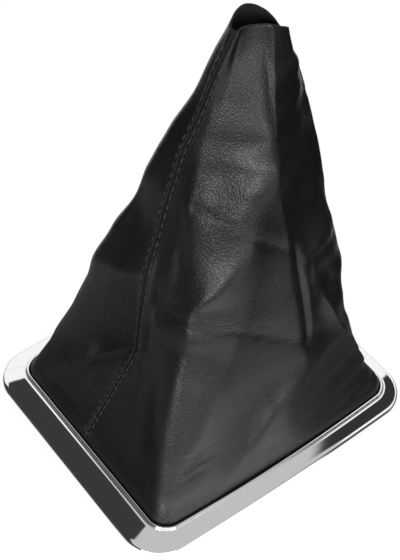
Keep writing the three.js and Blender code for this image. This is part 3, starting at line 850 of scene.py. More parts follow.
# The lines of the front ridge and the right edge also place columns of the mesh
UPRIGHT_FOLDS = {
    "left corner edge": UprightFold(12, 16, 9, (
        (0.36, 0.97, 0), (0.42, 0.955, 2.0), (0.5, 0.925, 2.4), (0.6, 0.84, 1.6), (0.7, 0.735, 0.5),
        (0.8, 0.64, 0))),
    "right shoulder": UprightFold(16, 18, 9, (
        (0.32, 2.15, 0), (0.42, 2.2, 3.3), (0.5, 2.24, 4.5), (0.57, 2.26, 6.4), (0.65, 2.26, 6.8),
        (0.73, 2.26, 6.0), (0.82, 2.26, 4.6), (0.89, 2.26, 3.4), (0.94, 2.26, 1.4), (1.0, 2.26, 0.6),
        (1.05, 2.26, 0))),
    "low ridge": UprightFold(11, 14, 4.5, (
        (0, 1.0, 0), (0.08, 0.985, 2.8), (0.2, 0.957, 4.4), (0.3, 0.96, 4.6), (0.4, 0.975, 2.8),
        (0.47, 0.98, 0))),
    "front ridge": UprightFold(8, 13, 2.6, (
        (0, 1.0, 0), (0.2, 0.957, 0), (0.3, 0.96, 0.4), (0.4, 0.975, 2.2),
        (0.445, 0.95, 4.6), (0.52, 1.09, 5.4), (0.603, 1.225, 5.9), (0.66, 1.185, 6.0),
        (0.702, 1.225, 5.8), (0.747, 1.31, 4.8), (0.80, 1.37, 2.0), (0.87, 1.40, 0))),
    "left valley": UprightFold(8, 5, 2.5, (
        (0.38, 0.78, 0), (0.45, 0.8, -1.6), (0.52, 0.8, -2.0), (0.605, 0.69, -1.6),
        (0.68, 0.58, -1.0), (0.78, 0.54, 0))),
    "upper swell": UprightFold(8, 5, 3, (
        (0.63, 1.36, 0), (0.74, 1.35, 1.8), (0.86, 1.31, 1.5), (0.98, 1.26, 0))),
    "right edge": UprightFold(13, 5, 0.7, (
        (0.22, 1.61, 0), (0.285, 1.6, 3.2), (0.41, 1.585, 3.4), (0.535, 1.55, 3.6),
        (0.63, 1.485, 2.6), (0.732, 1.40, 3.2), (0.805, 1.44, 1.0), (0.90, 1.54, 0))),
    "pocket": UprightFold(2.8, 4, 1, (
        (0.27, 1.63, 0), (0.31, 1.648, -2.2), (0.42, 1.645, -2.8), (0.52, 1.62, -2.2), (0.57, 1.6, 0))),
    "pocket ridge": UprightFold(2.2, 4, 0.5, (
        (0.28, 1.67, 0), (0.33, 1.677, 1.6), (0.42, 1.674, 2.2), (0.5, 1.655, 1.2), (0.56, 1.67, 0))),
    "short ridge": UprightFold(4, 5, 0.8, ((0.37, 1.75, 0), (0.44, 1.74, 2.6), (0.5, 1.78, 0))),
    "corner ridge": UprightFold(5, 9, 0.7, (
        (0.06, 2.04, 0), (0.13, 1.99, 3.2), (0.22, 1.9, 4.6), (0.328, 1.81, 4.8),
        (0.383, 1.785, 3.6), (0.44, 1.78, 0))),
    "right draw": UprightFold(20, 24, 8, (
        (0.01, 2.0, 0), (0.04, 2.0, -2.2), (0.08, 2.0, -4.8), (0.14, 2.02, -9.2), (0.2, 2.04, -12.0),
        (0.27, 2.04, -7.6), (0.34, 2.02, -4.2), (0.41, 2.0, -3.2), (0.47, 2.0, -1.4), (0.6, 2.0, 0))),
    "left wave": UprightFold(16, 16, 6, (
        (0, 0, 0), (0.12, 0, -1.8), (0.22, 0, -2.4), (0.33, 0, -1.6), (0.4, 0, 0.2), (0.49, 0, 0.2),
        (0.57, 0, -1.4), (0.66, 0, 0.2), (0.76, 0, 0.2), (0.86, 0, -1.2), (0.95, 0, 0))),
    "low left hollow": UprightFold(12, 8, 5, (
        (0.03, 0.8, 0), (0.15, 0.78, -2.2), (0.3, 0.78, -2.0), (0.4, 0.8, 0))),
    "low front flat": UprightFold(10, 18, 6, (
        (0.08, 1.2, 0), (0.2, 1.22, -1.0), (0.33, 1.22, -1.2), (0.4, 1.25, 0))),
    "rear ridge": UprightFold(9, 12, 3, (
        (0.08, 2.5, 0), (0.24, 2.55, 2.4), (0.44, 2.42, 3.0), (0.62, 2.55, 2.4), (0.84, 2.5, 0))),
    "rear valley": UprightFold(9, 8, 3, (
        (0.14, 2.78, 0), (0.32, 2.74, -2.6), (0.5, 2.84, -2.8), (0.72, 2.76, 0))),
    "back ridge": UprightFold(10, 8, 2.5, (
        (0.1, 3.62, 0), (0.26, 3.56, 2.0), (0.42, 3.5, 3.2), (0.58, 3.36, 2.6), (0.8, 3.4, 0))),
    "back valley": UprightFold(8, 9, 3, (
        (0.2, 3.3, 0), (0.34, 3.24, -2.4), (0.5, 3.18, -2.8), (0.7, 3.2, 0))),
}

CROSS_FOLDS = {
    "upper crease": CrossFold(3, 4, 0.8, (
        (0.7, 0.665, 0), (0.78, 0.657, -0.6), (1.072, 0.65, -0.7), (1.2, 0.615, -1.0),
        (1.267, 0.603, -1.2), (1.42, 0.57, -1.0), (1.567, 0.535, -0.6), (1.6, 0.53, 0)), 1.0),
    "middle crease": CrossFold(3, 4.5, 0.8, (
        (0.55, 0.43, 0), (0.65, 0.43, -0.8), (0.84, 0.432, -1.2), (0.932, 0.428, -2.0),
        (1.05, 0.42, -1.4), (1.207, 0.4, -1.2), (1.45, 0.34, -1.2), (1.6, 0.295, -1.0),
        (1.66, 0.28, 0)), 1.0),
    "rake fold": CrossFold(27, 12, 2.5, (
        (1.18, 0.04, 0), (1.30, 0.085, 2.6), (1.42, 0.15, 4.8), (1.54, 0.20, 6.0), (1.66, 0.225, 6.0),
        (1.78, 0.235, 4.6), (1.92, 0.22, 2.6), (2.08, 0.15, 0))),
    "left ridge": CrossFold(15, 12, 3, (
        (-0.1, 0.40, 0), (0.08, 0.41, 2.4), (0.3, 0.43, 3.4), (0.45, 0.452, 2.6), (0.62, 0.46, 0))),
    "left low valley": CrossFold(24, 30, 1.5, (
        (-0.15, 0.0, 0), (0.0, 0.02, -0.4), (0.087, 0.045, -1.4), (0.211, 0.12, -6.0),
        (0.301, 0.17, -9.0), (0.434, 0.235, -9.6), (0.56, 0.28, -5.6), (0.72, 0.32, 0))),
    "side swell": CrossFold(5, 10, 2, (
        (1.60, 0.475, 0), (1.7, 0.49, 2.4), (1.82, 0.508, 3.4), (1.95, 0.525, 1.6), (2.08, 0.54, 0))),
    "left valley across": CrossFold(10, 10, 4, (
        (0.0, 0.57, 0), (0.15, 0.55, -1.4), (0.3, 0.53, -1.6), (0.45, 0.52, 0))),
    "neck hollow": CrossFold(16, 10, 5, (
        (0.6, 0.955, 0), (0.8, 0.955, -1.6), (1.1, 0.955, -2.0), (1.4, 0.955, -1.6), (1.55, 0.95, 0))),
    "rear crease": CrossFold(4, 7, 1, (
        (2.2, 0.36, 0), (2.42, 0.4, -1.4), (2.75, 0.42, -1.6), (2.95, 0.39, 0)), 0.8),
    "back crease": CrossFold(5, 7, 1, (
        (3.1, 0.52, 0), (3.35, 0.5, -1.2), (3.6, 0.44, -1.6), (3.9, 0.42, 0)), 0.8),
}

DENTS = {
    "side pocket": Dent(1.83, 0.4, -3.5, 8),
    "wrinkled dent over the hem": Dent(1.08, 0.12, -1.6, 8, 1.0),
    "upper front hollow": Dent(1.03, 0.73, -2.6, 13),
    "hollow by the right edge": Dent(1.62, 0.6, -1.5, 9),
    "right hem hollow": Dent(1.9, 0.045, -1.5, 16),
    "left swelling": Dent(0.1, 0.2, 1.2, 18),
    "neck side": Dent(1.92, 0.945, -0.8, 12),
}

# Line of the seam up the left face: height share v and place u
SEAM_LINE = np.array((
    (0, 0.465), (0.055, 0.467), (0.165, 0.50), (0.27, 0.548), (0.325, 0.542), (0.443, 0.527),
    (0.52, 0.49), (0.60, 0.452), (0.675, 0.43), (0.745, 0.40), (0.82, 0.41), (0.90, 0.43), (1, 0.50)))

# Rim seen from above the lip's centre, at every quarter face: x, y and how far it dips, in mm
RIM_OUTLINE = np.array((
    (-9.0, 4.7, -0.4), (-10.6, 3.0, 0), (-10.6, 0.7, 0.3), (-7.8, -0.1, 0.1),
    (-5.0, -0.6, 0), (-1.8, -1.8, 0), (1.6, -3.5, 0), (6.0, -4.2, 1.7),
    (9.7, -3.6, 3.5), (8.6, -1.4, 4.4), (6.9, 0.6, 1.8), (6.3, 2.8, 0.7),
    (5.4, 4.9, -0.2), (3.0, 7.4, -1.4), (-0.6, 8.4, -2.0), (-5.0, 7.3, -1.5)))


@dataclass(frozen=True)
class SeamSizes:
    """What the seam raises and presses down in the leather: heights and half widths in mm."""

    allowance: tuple = (0.45, 3.2)
    join: tuple = (0.85, 0.34)
    groove: tuple = (-0.55, 0.34)
    groove_offset: float = 0.75
    row: tuple = (-0.30, 0.45)
    row_offset: float = 1.9

    def relief(self, distance: np.ndarray) -> np.ndarray:
        """Give the seam's relief: a proud join, a groove on each side and two sewn-down rows.

        Args:
            distance: Distance from the seam in mm.

        Returns:
            Heights in mm.
        """
        beside = np.abs(distance)
        allowance = self.allowance[0] * np.exp(-(distance / self.allowance[1]) ** 4)
        join = self.join[0] * np.exp(-(distance / self.join[1]) ** 2)
        grooves = self.groove[0] * np.exp(-((beside - self.groove_offset) / self.groove[1]) ** 2)
        rows = self.row[0] * np.exp(-((beside - self.row_offset) / self.row[1]) ** 2)
        return allowance + join + grooves + rows


@dataclass(frozen=True)
class SlackSizes:
    """The cloth's soft unevenness: spacings and heights in mm."""

    broad: tuple = (26.0, 0.5)
    small: tuple = (9.0, 0.16)
    crease_length: float = 14.0
    crease_spacing: float = 2.3
    crease_height: float = 0.42
    face_length: float = 60.0

    def relief(self, u: np.ndarray, up: np.ndarray, points: np.ndarray,
               crease: np.ndarray) -> tuple[np.ndarray, np.ndarray]:
        """Give the unevenness, with low ridges that run along the creases.

        Args:
            u: Places round the sleeve.
            up: Distances up it in mm.
            points: The plain sleeve's points there.
            crease: How wrinkled the leather is there.

        Returns:
            Heights in mm of the unevenness, and of the ridges.
        """
        broad, small, lines = [], [], []
        across = u * self.face_length
        for point, along, climbed in zip(points.reshape(-1, 3), across.ravel(), up.ravel()):
            here = Vector(point)
            broad.append(noise.noise(here / self.broad[0]))
            small.append(noise.noise(here / self.small[0] + Vector((7.0, 3.0, 5.0))))
            lines.append(noise.noise(Vector((along / self.crease_length,
                                             climbed / self.crease_spacing, 0.5))))
        broad, small, lines = (np.array(a).reshape(up.shape) for a in (broad, small, lines))
        return self.broad[1] * broad + self.small[1] * small, self.crease_height * crease * lines


@dataclass
class Sleeve:
    """The leatherette sleeve: one sheet sewn into a tube, with its folds, seam and raw rim.

    It is mapped by u, which goes once round in four faces from the left corner, and v, which climbs
    from the lip at 0 to the rim at 1. Its sizes are in mm.
    """

    bezel: BezelSizes = field(default_factory=BezelSizes)
    finish: Leatherette = field(default_factory=Leatherette)
    seam: SeamSizes = field(default_factory=SeamSizes)
    unevenness: SlackSizes = field(default_factory=SlackSizes)
    thickness: float = 1.2
    height: float = 189.5
    rim_length: float = 19.0
    rim_depth: float = 16.0
    hem_upstand: float = 0.6
    seat_gap: float = 0.3
    base_corner_radius: float = 7.5
    soft_corners: tuple = (10.0, 44.0, 20.0, 26.0)
    soften_from: float = 0.08
    soften_over: float = 0.42
    settle: float = 0.03
    flange_width: float = 4.0
    flange_rounding: float = 0.25
    rows: int = 262
    inner_rows: int = 40
    rim_thickness: float = 0.75
    thinned: tuple = (0.93, 0.99)
    column_counts: tuple = (30, 34, 50, 64, 46, 46)
    seam_columns: tuple = (6, 4.6, 3.7, 3.1, 2.6, 2.2, 1.9, 1.6, 1.25, 0.98, 0.75, 0.55, 0.38, 0.24, 0.12)

    @property
    def foot_height(self) -> float:
        """Height of the sleeve's first row, just over the lip."""
        return BEZEL_BASE + self.bezel.lip_height + self.hem_upstand

    @property
    def climb(self) -> float:
        """Length of the leather from the lip to the rim."""
        return math.hypot(self.height, self.bezel.lip_length / 2)

    def face_width(self, v: np.ndarray) -> np.ndarray:
        """Mean width of a face at each height."""
        foot = self.bezel.lip_length + self.bezel.lip_width
        return (foot * (1 - v) + (self.rim_length + self.rim_depth) * v) / 2

    def rim(self, u: np.ndarray) -> np.ndarray:
        """Walk the rim: a closed smooth curve through its points.

        Args:
            u: Places round the sleeve.

        Returns:
            The x and y of each place and how far it dips.
        """
        count = len(RIM_OUTLINE)
        place = np.mod(u / FACES, 1) * count
        i = np.floor(place).astype(int) % count
        t = (place - np.floor(place))[..., None]
        a, b, c, d = (RIM_OUTLINE[(i + k) % count] for k in (-1, 0, 1, 2))
        return 0.5 * (2 * b + (c - a) * t + (2 * a - 5 * b + 4 * c - d) * t ** 2
                      + (3 * b - a - 3 * c + d) * t ** 3)

    def plain(self, u: np.ndarray, v: np.ndarray) -> np.ndarray:
        """Give points of the sleeve without its folds: straight lines from lip to rim.

        Args:
            u: Places round the sleeve.
            v: Heights up it.

        Returns:
            Points in mm.
        """
        u, v = np.broadcast_arrays(np.asarray(u, float), np.asarray(v, float))
        soft = ramp(v, self.soften_from, self.soften_from + self.soften_over)
        radii = [self.base_corner_radius * (1 - soft) + r * soft for r in self.soft_corners]
        inside = self.bezel.lip_thickness / 2 + self.seat_gap
        foot_x, foot_y = rounded_rectangle(u, self.bezel.lip_length / 2 - inside,
                                           self.bezel.lip_width / 2 - inside, radii,
                                           self.bezel.lip_long_bow * (1 - soft))
        top = self.rim(u)
        centre = self.bezel.lip_centre
        return np.stack([centre[0] + foot_x * (1 - v) + top[..., 0] * v,
                         centre[1] + foot_y * (1 - v) + top[..., 1] * v,
                         self.foot_height + self.height * v - top[..., 2] * ramp(v, 0.9, 1)], -1)

    def outward(self, u: np.ndarray, v: np.ndarray) -> np.ndarray:
        """Give the outward direction of the plain sleeve.

        Args:
            u: Places round the sleeve.
            v: Heights up it.

        Returns:
            Directions of length 1.
        """
        step = 0.002
        low, high = np.clip(v - step, 0, 1), np.clip(v + step, 0, 1)
        across = self.plain(u + step, v) - self.plain(u - step, v)
        up = self.plain(u, high) - self.plain(u, low)
        direction = np.cross(across, up)
        return direction / np.linalg.norm(direction, axis=-1, keepdims=True)

    def fold_relief(self, u: np.ndarray, v: np.ndarray) -> np.ndarray:
        """Sum the folds and dents.

        Args:
            u: Places round the sleeve.
            v: Heights up it.

        Returns:
            Heights in mm along the outward direction.
        """
        width = self.face_width(v)
        relief = np.zeros(np.broadcast(u, v).shape)
        for fold in UPRIGHT_FOLDS.values():
            relief = relief + fold.relief(u, v, width)
        for fold in CROSS_FOLDS.values():
            relief = relief + fold.relief(u, v, self.climb)
        for dent in DENTS.values():
            relief = relief + dent.height * dent.share(u, v, width, self.climb)
        return relief * np.clip(v / self.settle, 0, 1)

    def crease(self, u: np.ndarray, v: np.ndarray) -> np.ndarray:
        """Give how strongly the leather is wrinkled.

        Args:
            u: Places round the sleeve.
            v: Heights up it.

        Returns:
            Strengths from 0 to 1.
        """
        total = np.zeros(np.broadcast(u, v).shape)
        for fold in CROSS_FOLDS.values():
            total = total + fold.wrinkling(u, v, self.climb)
        for dent in DENTS.values():
            total = total + dent.wrinkled * dent.share(u, v, self.face_width(v), self.climb)
        return np.clip(total, 0, 1)

    def seam_place(self, v: np.ndarray) -> np.ndarray:
        """Give the seam's place round the sleeve at each height."""
        return along_line(SEAM_LINE, v, 1)

    def fine_relief(self, u: np.ndarray, v: np.ndarray, points: np.ndarray,
                    crease: np.ndarray) -> np.ndarray:
        """Give the seam's relief and the unevenness of the cloth, both dying away at the hem.

        Args:
            u: Places round the sleeve.
            v: Heights up it.
            points: The plain sleeve's points there.
            crease: How wrinkled the leather is there.

        Returns:
            Heights in mm.
        """
        distance = turn_between(self.seam_place(v), u) * self.face_width(v)
        seam = self.seam.relief(distance) * ramp(v, 0, 0.02)
        slack, ridges = self.unevenness.relief(u, v * self.climb, points, crease)
        return seam + (slack * ramp(v, 0.01, 0.08) + ridges)

    def folded(self, u: np.ndarray, v: np.ndarray) -> np.ndarray:
        """Give points of the sleeve with its folds, before any facet is drawn straight."""
        return self.plain(u, v) + self.outward(u, v) * self.fold_relief(u, v)[..., None]

    def surface(self, u: np.ndarray, v: np.ndarray) -> tuple[np.ndarray, np.ndarray]:
        """Give points of the finished outer surface.

        Args:
            u: Places round the sleeve.
            v: Heights up it.

        Returns:
            Points in mm, and how wrinkled the leather is at each.
        """
        plain = self.plain(u, v)
        crease = self.crease(u, v)
        outward = self.outward(u, v)
        points = self.folded(u, v)
        for facet in FACETS.values():
            place, drawn = facet.place(u, v), facet.drawn(v)
            start, end = (self.folded(edge, v) for edge in facet.edges(v))
            straight = start + (end - start) * place[..., None]
            straight = straight + outward * (4 * place * (1 - place) * facet.bow(v))[..., None]
            felt = np.where((place > 0) & (place < 1), drawn, 0)[..., None]
            points = points * (1 - felt) + straight * felt
        relief = self.fine_relief(u, v, plain, crease)
        return points + outward * relief[..., None], crease

    def columns(self, v: float) -> np.ndarray:
        """Place the columns at one height, so that some follow the seam and the two sharp edges.

        Args:
            v: The height up the sleeve.

        Returns:
            The columns' places round it.
        """
        width = float(self.face_width(np.array(v)))
        seam = float(self.seam_place(np.array(v)))
        offsets = np.array(self.seam_columns) / width
        ridge, edge = (float(along_line(np.array(UPRIGHT_FOLDS[name].points), np.array(v), 1))
                       for name in ("front ridge", "right edge"))
        stops = ((0.0, seam - offsets[0]), (seam + offsets[0], ridge), (ridge, edge), (edge, 2.0),
                 (2.0, 3.0), (3.0, 4.0))
        runs = [np.linspace(*ends, count, endpoint=False)
                for ends, count in zip(stops, self.column_counts)]
        middle = np.concatenate([seam - offsets, [seam], (seam + offsets[:0:-1])])
        return np.concatenate([runs[0], middle, *runs[1:]])

    def normals(self, grid: np.ndarray) -> np.ndarray:
        """Give the outward direction at each point of a grid.

        Args:
            grid: Rows of points, from the lip up.

        Returns:
            Directions of length 1.
        """
        across = np.roll(grid, -1, axis=1) - np.roll(grid, 1, axis=1)
        up = np.empty_like(grid)
        up[1:-1] = grid[2:] - grid[:-2]
        up[0] = grid[1] - grid[0]
        up[-1] = grid[-1] - grid[-2]
        direction = np.cross(across, up)
        return direction / np.linalg.norm(direction, axis=-1, keepdims=True)

    def foot_ring(self, u: np.ndarray, offset: float, height: float) -> np.ndarray:
        """Give a ring of the sleeve's foot.

        Args:
            u: Places round the sleeve.
            offset: How far out the ring lies from the leather at the lip.
            height: Its height over the bezel's base.

        Returns:
            Points in mm.
        """
        inside = self.bezel.lip_thickness / 2 + self.seat_gap
        x, y = rounded_rectangle(u, self.bezel.lip_length / 2 - inside + offset,
                                 self.bezel.lip_width / 2 - inside + offset,
                                 [max(self.base_corner_radius + offset, 1)] * FACES,
                                 self.bezel.lip_long_bow)
        centre = self.bezel.lip_centre
        return np.stack([centre[0] + x, centre[1] + y, np.full_like(x, BEZEL_BASE + height)], -1)

    def build(self) -> bpy.types.Object:
        """Build the sewn sheet from rows of points, inside and out, and dress it.

        Returns:
            The finished sleeve.
        """
        v = np.linspace(0, 1, self.rows + 1)
        u = np.stack([self.columns(x) for x in v])
        outer, crease = self.surface(u, np.broadcast_to(v[:, None], u.shape))
        normals = self.normals(outer)
        normals[0, :, 2] = 0
        normals[0] /= np.linalg.norm(normals[0], axis=-1, keepdims=True)
        picked = np.unique(np.linspace(0, self.rows, self.inner_rows + 1).round().astype(int))
        thick = self.thickness + (self.rim_thickness - self.thickness) * ramp(v, *self.thinned)
        inner = (outer - normals * thick[:, None, None])[picked]
        inner[-1, :, 2] = outer[-1, :, 2]
        flange_top = self.bezel.rib_base - self.seat_gap
        flange_end = self.flange_width + self.bezel.lip_thickness / 2
        foot = [self.foot_ring(u[0], flange_end, flange_top - self.thickness),
                self.foot_ring(u[0], flange_end, flange_top),
                self.foot_ring(u[0], self.flange_rounding, flange_top),
                self.foot_ring(u[0], 0, flange_top + self.flange_rounding)]
        heel = self.foot_ring(u[0], -self.thickness, flange_top - self.thickness)
        rings = foot + list(outer) + list(inner[::-1]) + [heel]
        points = np.concatenate(rings)
        piece = mesh_object("leathercloth_sleeve", points, ring_faces(len(rings), u.shape[1], True),
                            self.finish.material())
        first, last = len(foot), len(foot) + len(outer)
        creased = np.zeros((len(rings), u.shape[1]), np.float32)
        creased[first:last] = crease
        backing = np.ones_like(creased)
        backing[:last] = 0
        flat = np.zeros((len(rings), u.shape[1], 3), np.float32)
        flat[first:last, :, 0] = (u - self.seam_place(v)[:, None]) * self.face_width(v)[:, None] * MM
        flat[first:last, :, 1] = v[:, None] * self.climb * MM
        for name, kind, values in (("crease", "FLOAT", creased), ("backing", "FLOAT", backing),
                                   ("flat", "FLOAT_VECTOR", flat)):
            attribute = piece.data.attributes.new(name, kind, "POINT")
            attribute.data.foreach_set("vector" if kind == "FLOAT_VECTOR" else "value", values.ravel())
        hand_over(piece, Slot.LEATHER, "leather_sleeve")
        return piece


@dataclass
class StitchRow:
    """One row of topstitching: separate stitches of twisted thread, pulled down at both ends.

    Sizes are in mm, and the row runs between two heights up the sleeve.
    """

    sleeve: Sleeve
    side: Side
    finish: SewingThread = field(default_factory=SewingThread)
    pitch: float = 4.2
    stitch: float = 3.1
    radius: float = 0.30
    bury: float = 0.22
    rise: float = 0.34
    first: float = 0.012
    last: float = 0.985
    sections: int = 9
    round_steps: int = 8
    arch_fullness: float = 0.6
    girth_fullness: float = 0.35
    least_girth: float = 0.25

    def places(self) -> list:
        """List where the stitches lie.

        Returns:
            The heights up the sleeve of each stitch's two ends.
        """
        step = self.pitch / self.sleeve.climb
        reach = self.stitch / self.sleeve.climb
        count = int((self.last - self.first) / step)
        return [(self.first + i * step, self.first + i * step + reach) for i in range(count)]

    def line(self, v: np.ndarray) -> tuple[np.ndarray, np.ndarray]:
        """Follow the row over the leather.

        Args:
            v: Heights up the sleeve.

        Returns:
            Points on the leather in mm, and the outward directions there.
        """
        width = self.sleeve.face_width(v)
        u = self.sleeve.seam_place(v) + self.side.value * self.sleeve.seam.row_offset / width
        step_u, step_v = 0.6 / width, 0.003
        here, _ = self.sleeve.surface(u, v)
        right, _ = self.sleeve.surface(u + step_u, v)
        left, _ = self.sleeve.surface(u - step_u, v)
        above, _ = self.sleeve.surface(u, np.clip(v + step_v, 0, 1))
        below, _ = self.sleeve.surface(u, np.clip(v - step_v, 0, 1))
        outward = np.cross(right - left, above - below)
        return here, outward / np.linalg.norm(outward, axis=-1, keepdims=True)

    def build(self) -> bpy.types.Object:
        """Build every stitch of the row as a bent strand with narrow ends, and dress it.

        Returns:
            The finished row.
        """
        points, faces = [], []
        share = np.linspace(0, 1, self.sections)
        arch = np.sin(math.pi * share) ** self.arch_fullness
        girth = np.sin(math.pi * np.clip(share, 0.04, 0.96)) ** self.girth_fullness
        girth = np.clip(girth, self.least_girth, 1)
        tube = ring_faces(self.sections, self.round_steps, False)
        angles = np.linspace(0, 2 * math.pi, self.round_steps, endpoint=False)
        for start, end in self.places():
            here, outward = self.line(start + (end - start) * share)
            lift = -self.bury + (self.rise + self.bury) * arch
            centre = here + outward * lift[:, None]
            along = np.gradient(centre, axis=0)
            along /= np.linalg.norm(along, axis=-1, keepdims=True)
            across = np.cross(along, outward)
            across /= np.linalg.norm(across, axis=-1, keepdims=True)
            up = np.cross(across, along)
            ring = (across[:, None] * np.cos(angles)[None, :, None]
                    + up[:, None] * np.sin(angles)[None, :, None])
            rings = centre[:, None] + ring * (self.radius * girth)[:, None, None]
            base = len(points) * self.sections * self.round_steps
            points.append(rings.reshape(-1, 3))
            faces += [[base + k for k in quad] for quad in tube]
            faces.append([base + k for k in range(self.round_steps - 1, -1, -1)])
            last = base + (self.sections - 1) * self.round_steps
            faces.append([last + k for k in range(self.round_steps)])
        name = f"topstitching_{self.side.name.lower()}"
        piece = mesh_object(name, np.concatenate(points), faces, self.finish.material())
        hand_over(piece, Slot.THREAD, f"stitch_row_{self.side.name.lower()}")
        return piece


@dataclass
class Fixings:
    """The parts under the bezel: retaining frame, screws and spring clips."""

    plastic: MouldedPlastic = field(default_factory=MouldedPlastic)
    steel: ZincPlatedSteel = field(default_factory=ZincPlatedSteel)
    frame_edge_mm: float = 0.25
    steel_edge_mm: float = 0.1
    edge_steps: int = 2
    soften_over_degrees: float = 40.0

    def dress(self) -> None:
        """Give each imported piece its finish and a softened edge."""
        plastic, steel = self.plastic.material(), self.steel.material()
        for name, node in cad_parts.items():
            if name == "retaining_frame":
                self.finish_node(node, plastic, self.frame_edge_mm)
            elif name.startswith(("frame_screw", "spring_clip")):
                self.finish_node(node, steel, self.steel_edge_mm)

    def finish_node(self, node: bpy.types.Object, material: bpy.types.Material,
                    edge_mm: float) -> None:
        """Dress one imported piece.

        Args:
            node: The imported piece.
            material: Its material.
            edge_mm: Width of its softened edges.
        """
        node.data.materials.clear()
        node.data.materials.append(material)
        bevel = node.modifiers.new("softened_edges", "BEVEL")
        bevel.width = edge_mm * MM
        bevel.segments = self.edge_steps
        bevel.limit_method = "ANGLE"
        bevel.angle_limit = math.radians(self.soften_over_degrees)
        LOG.info("node %s dressed in %s", node.name, material.name)


# Directions over the floor, from the middle of the object to the panels of painted light and shade that
# lie round it
FRONT_NEAR = (-0.62, -0.78, 0)
FRONT_FAR = (-0.56, -0.83, 0)
LEFT_NEAR = (-0.86, 0.51, 0)
LEFT_FAR = (-0.82, 0.57, 0)
RIGHT_NEAR = (0.81, -0.59, 0)
RIGHT_FAR = (0.90, -0.438, 0)

# Direction of the dark wall on the right
RIGHT_WALL = (0.862, 0.258, -0.437)


@dataclass(frozen=True)
class Panel:
    """A stretch of the studio's walls, or a stretch of the floor's painted light and shade: its tone, the
    cones that it lies in and its blur.

    Each cone is a direction and a half angle in degrees. A half angle of 90 is a straight edge.
    """

    tone: float
    cones: tuple
    blur: float = 0.012


@dataclass(frozen=True)
class PaintedFloorRing:
    """The sweep close to the object: how far it reaches in metres, and its panels of painted light and
    shade, seen in reflections.
    """

    reach: tuple
    panels: tuple


@dataclass(frozen=True)
class Softbox:
    """A square lamp: its name, its place and width in metres, and its power in watts."""

    name: str
    place: tuple
    width: float
    power: float


